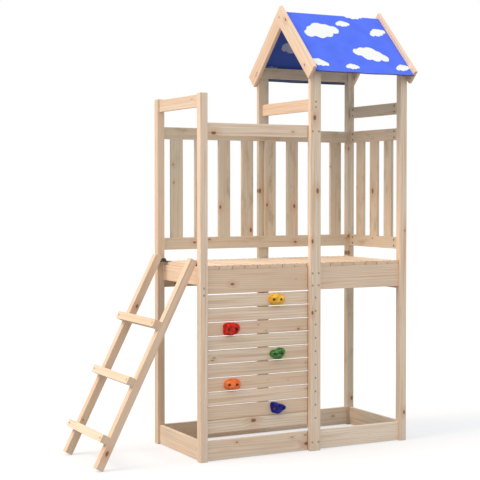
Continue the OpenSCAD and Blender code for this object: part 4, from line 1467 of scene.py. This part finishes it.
def cloud_distance(spots):
    """Distance from each spot of the cloth to the nearest cloud's outline, negative inside."""
    nearest = np.full(len(spots), FAR_FROM_CLOUDS)
    centre = (cloth_low.x + cloth_high.x) / 2
    for x, run, width, lean in CLOUDS:
        size = width * MM
        turn = math.radians(lean)
        middle = np.array([centre + x * cloth_width / 2, run * cloth_half])
        for along, up, radius in PUFFS:
            offset = np.array([along * math.cos(turn) - up * math.sin(turn),
                               along * math.sin(turn) + up * math.cos(turn)]) * size
            nearest = np.minimum(nearest, np.linalg.norm(spots - middle - offset, axis=1) - radius * size)
    return nearest


print("clouds:", len(CLOUDS), "of", len(PUFFS), "puffs")

# %% Printed cloth
SKY_BLUE = paint(69, 109, 246)
SKY_DEEP = paint(66, 104, 238)
# The inside of the roof is a darker blue than the outside, as painted shade under the roof.
INSIDE_BLUE_SHADED = paint(53, 86, 184)
CLOUD_WHITE = paint(232, 240, 240)
# The binding's navy is partly painted shade, for the shadow under the eave hems.
BINDING_NAVY_AND_SHADE = paint(52, 44, 64)
TAPE_SLATE = paint(84, 104, 136)
# The cloth gets painted shade between its threads, and every second crossing stands lower.
WEAVE_PAINTED_SHADE = (0.0, 0.0, 0.02, 1.0)
WEAVE_SHADE_SHARE = 0.12
THREADS_PER_METRE = 900.0
LOW_CROSSING = 0.6
WEAVE_STRENGTH = 0.3
WEAVE_DEPTH = 0.2 * MM
# Broad patches of the cloth are deeper in colour and duller.
PATCH_SCALE = 14.0
PATCH_DEEPENS = (0.35, 0.7)
PATCH_DULLS = (0.3, 0.7)
CLOTH_ROUGHNESS = (0.72, 0.84)
# A cloud's edge is crisp and a little ragged. On the inside of the roof the print shows only in part.
PRINT_EDGE = 0.6 * MM
PRINT_RAGGED = 7 * MM
RAGGED_SCALE = 150.0
PRINT_INSIDE = 0.45


@shader_group(["Place", "Threads"], ["Height", "Shade"])
def plain_weave(place, threads):
    """A plain weave of warp and weft, as height and as a faint painted shade between the threads."""
    across, along, _ = split(place)
    turn = threads * math.pi
    crossing = calc("SINE", across * turn) * calc("SINE", along * turn)
    height = greatest(crossing, crossing * -LOW_CROSSING)
    return height, fade(height, 0.0, 1.0, WEAVE_SHADE_SHARE, 0.0)


def make_cloth(name, blue, deep, print_share):
    """Printed cloth with its two blues; the print may be paler on the other side."""
    material, tree, shader = new_material(name)
    place = step(tree, "ShaderNodeUVMap", {}, uv_map="cloth")
    height, shade = plain_weave(place, THREADS_PER_METRE)
    patch = cloudy(place, PATCH_SCALE, detail=3.0)
    outline = carried(tree, "cloud", "Fac") + (cloudy(place, RAGGED_SCALE) - 0.5) * PRINT_RAGGED
    colour = mix(fade(patch, *PATCH_DEEPENS), blue, deep)
    colour = mix(fade(outline, PRINT_EDGE, -PRINT_EDGE, 0.0, print_share), colour, CLOUD_WHITE)
    colour = mix(shade, colour, WEAVE_PAINTED_SHADE)
    feed(shader, {"Base Color": colour, "Roughness": fade(patch, *PATCH_DULLS, *CLOTH_ROUGHNESS),
                  "Specular IOR Level": 0.25, "Sheen Weight": 0.15,
                  "Normal": bump(height, WEAVE_STRENGTH, WEAVE_DEPTH)})
    return material


cloth_outside = make_cloth("cloth_outside", SKY_BLUE, SKY_DEEP, 1.0)
cloth_inside = make_cloth("cloth_inside", INSIDE_BLUE_SHADED, INSIDE_BLUE_SHADED, PRINT_INSIDE)
cloth_binding_and_shade = make_cloth("cloth_binding_and_shade", BINDING_NAVY_AND_SHADE, BINDING_NAVY_AND_SHADE, 0.0)
cloth_tape = make_cloth("cloth_tape", TAPE_SLATE, TAPE_SLATE, 0.0)
print("cloth:", [cloth.name for cloth in (cloth_outside, cloth_inside, cloth_binding_and_shade, cloth_tape)])

# %% [markdown]
# ## Sheet, hems and bindings
# The sheet's edges are turned under as hems, and a dark binding runs along both eaves; its dark colour is
# partly painted shade, for the shadowed underside of the eave hems. They could be drawn on the sheet, but on
# the real roof they are thicker and show as lines against the light. Each is a strip by the sheet's own
# formula, laid a little lower, so that it follows every sag and wave.

# %% Sheet, hems and bindings
BACK_SHORT = 5.0 * MM
HEM_WIDTH = 16 * MM
BINDING_WIDTH = 5.0 * MM
BINDING_THICK = 2.4 * MM


def make_strip(name, edges, under, outside, inside, thick):
    """A stretch of the sheet between its four edges, with both its sides and its thickness."""
    mesh, spots = sheet_mesh(name, *edges, under)
    write_note(mesh, "cloud", cloud_distance(spots))
    mesh.materials.append(outside)
    mesh.materials.append(inside)
    piece = bpy.data.objects.new(name, mesh)
    scene.collection.objects.link(piece)
    wall = piece.modifiers.new("thickness", "SOLIDIFY")
    wall.thickness = thick
    wall.offset = 0.0
    wall.material_offset = 1
    settle(piece)
    return piece


x_low, x_high = cloth_low.x, cloth_high.x
run_low, run_high = -cloth_half, cloth_half - BACK_SHORT
roof_sheet = make_strip("roof_sheet", (x_low, x_high, run_low, run_high), 0.0, cloth_outside, cloth_inside,
                        CLOTH_THICK)
dress(roof_sheet, "roof_cloth", "roof_cloth")


def eave_strips(width):
    """A strip along the front eave and one along the back eave."""
    return [(x_low, x_high, run_low, run_low + width), (x_low, x_high, run_high - width, run_high)]


hems = [(strip, cloth_tape) for strip in eave_strips(HEM_WIDTH)]
hems += [((x, x + HEM_WIDTH, run_low + HEM_WIDTH, run_high - HEM_WIDTH), cloth_inside)
         for x in (x_low, x_high - HEM_WIDTH)]
trims = [make_strip("roof_hem_%d" % number, strip, CLOTH_THICK, cloth_outside, inside, CLOTH_THICK)
         for number, (strip, inside) in enumerate(hems)]
for number, strip in enumerate(eave_strips(BINDING_WIDTH)):
    trims.append(make_strip("roof_binding_%d" % number, strip, CLOTH_THICK / 2, cloth_binding_and_shade, cloth_binding_and_shade,
                            BINDING_THICK))
for trim in trims:
    dress(trim, "roof_cloth")
print("roof faces:", len(roof_sheet.data.polygons), "length", round(run_high - run_low, 4))
print("hems and bindings:", len(trims))
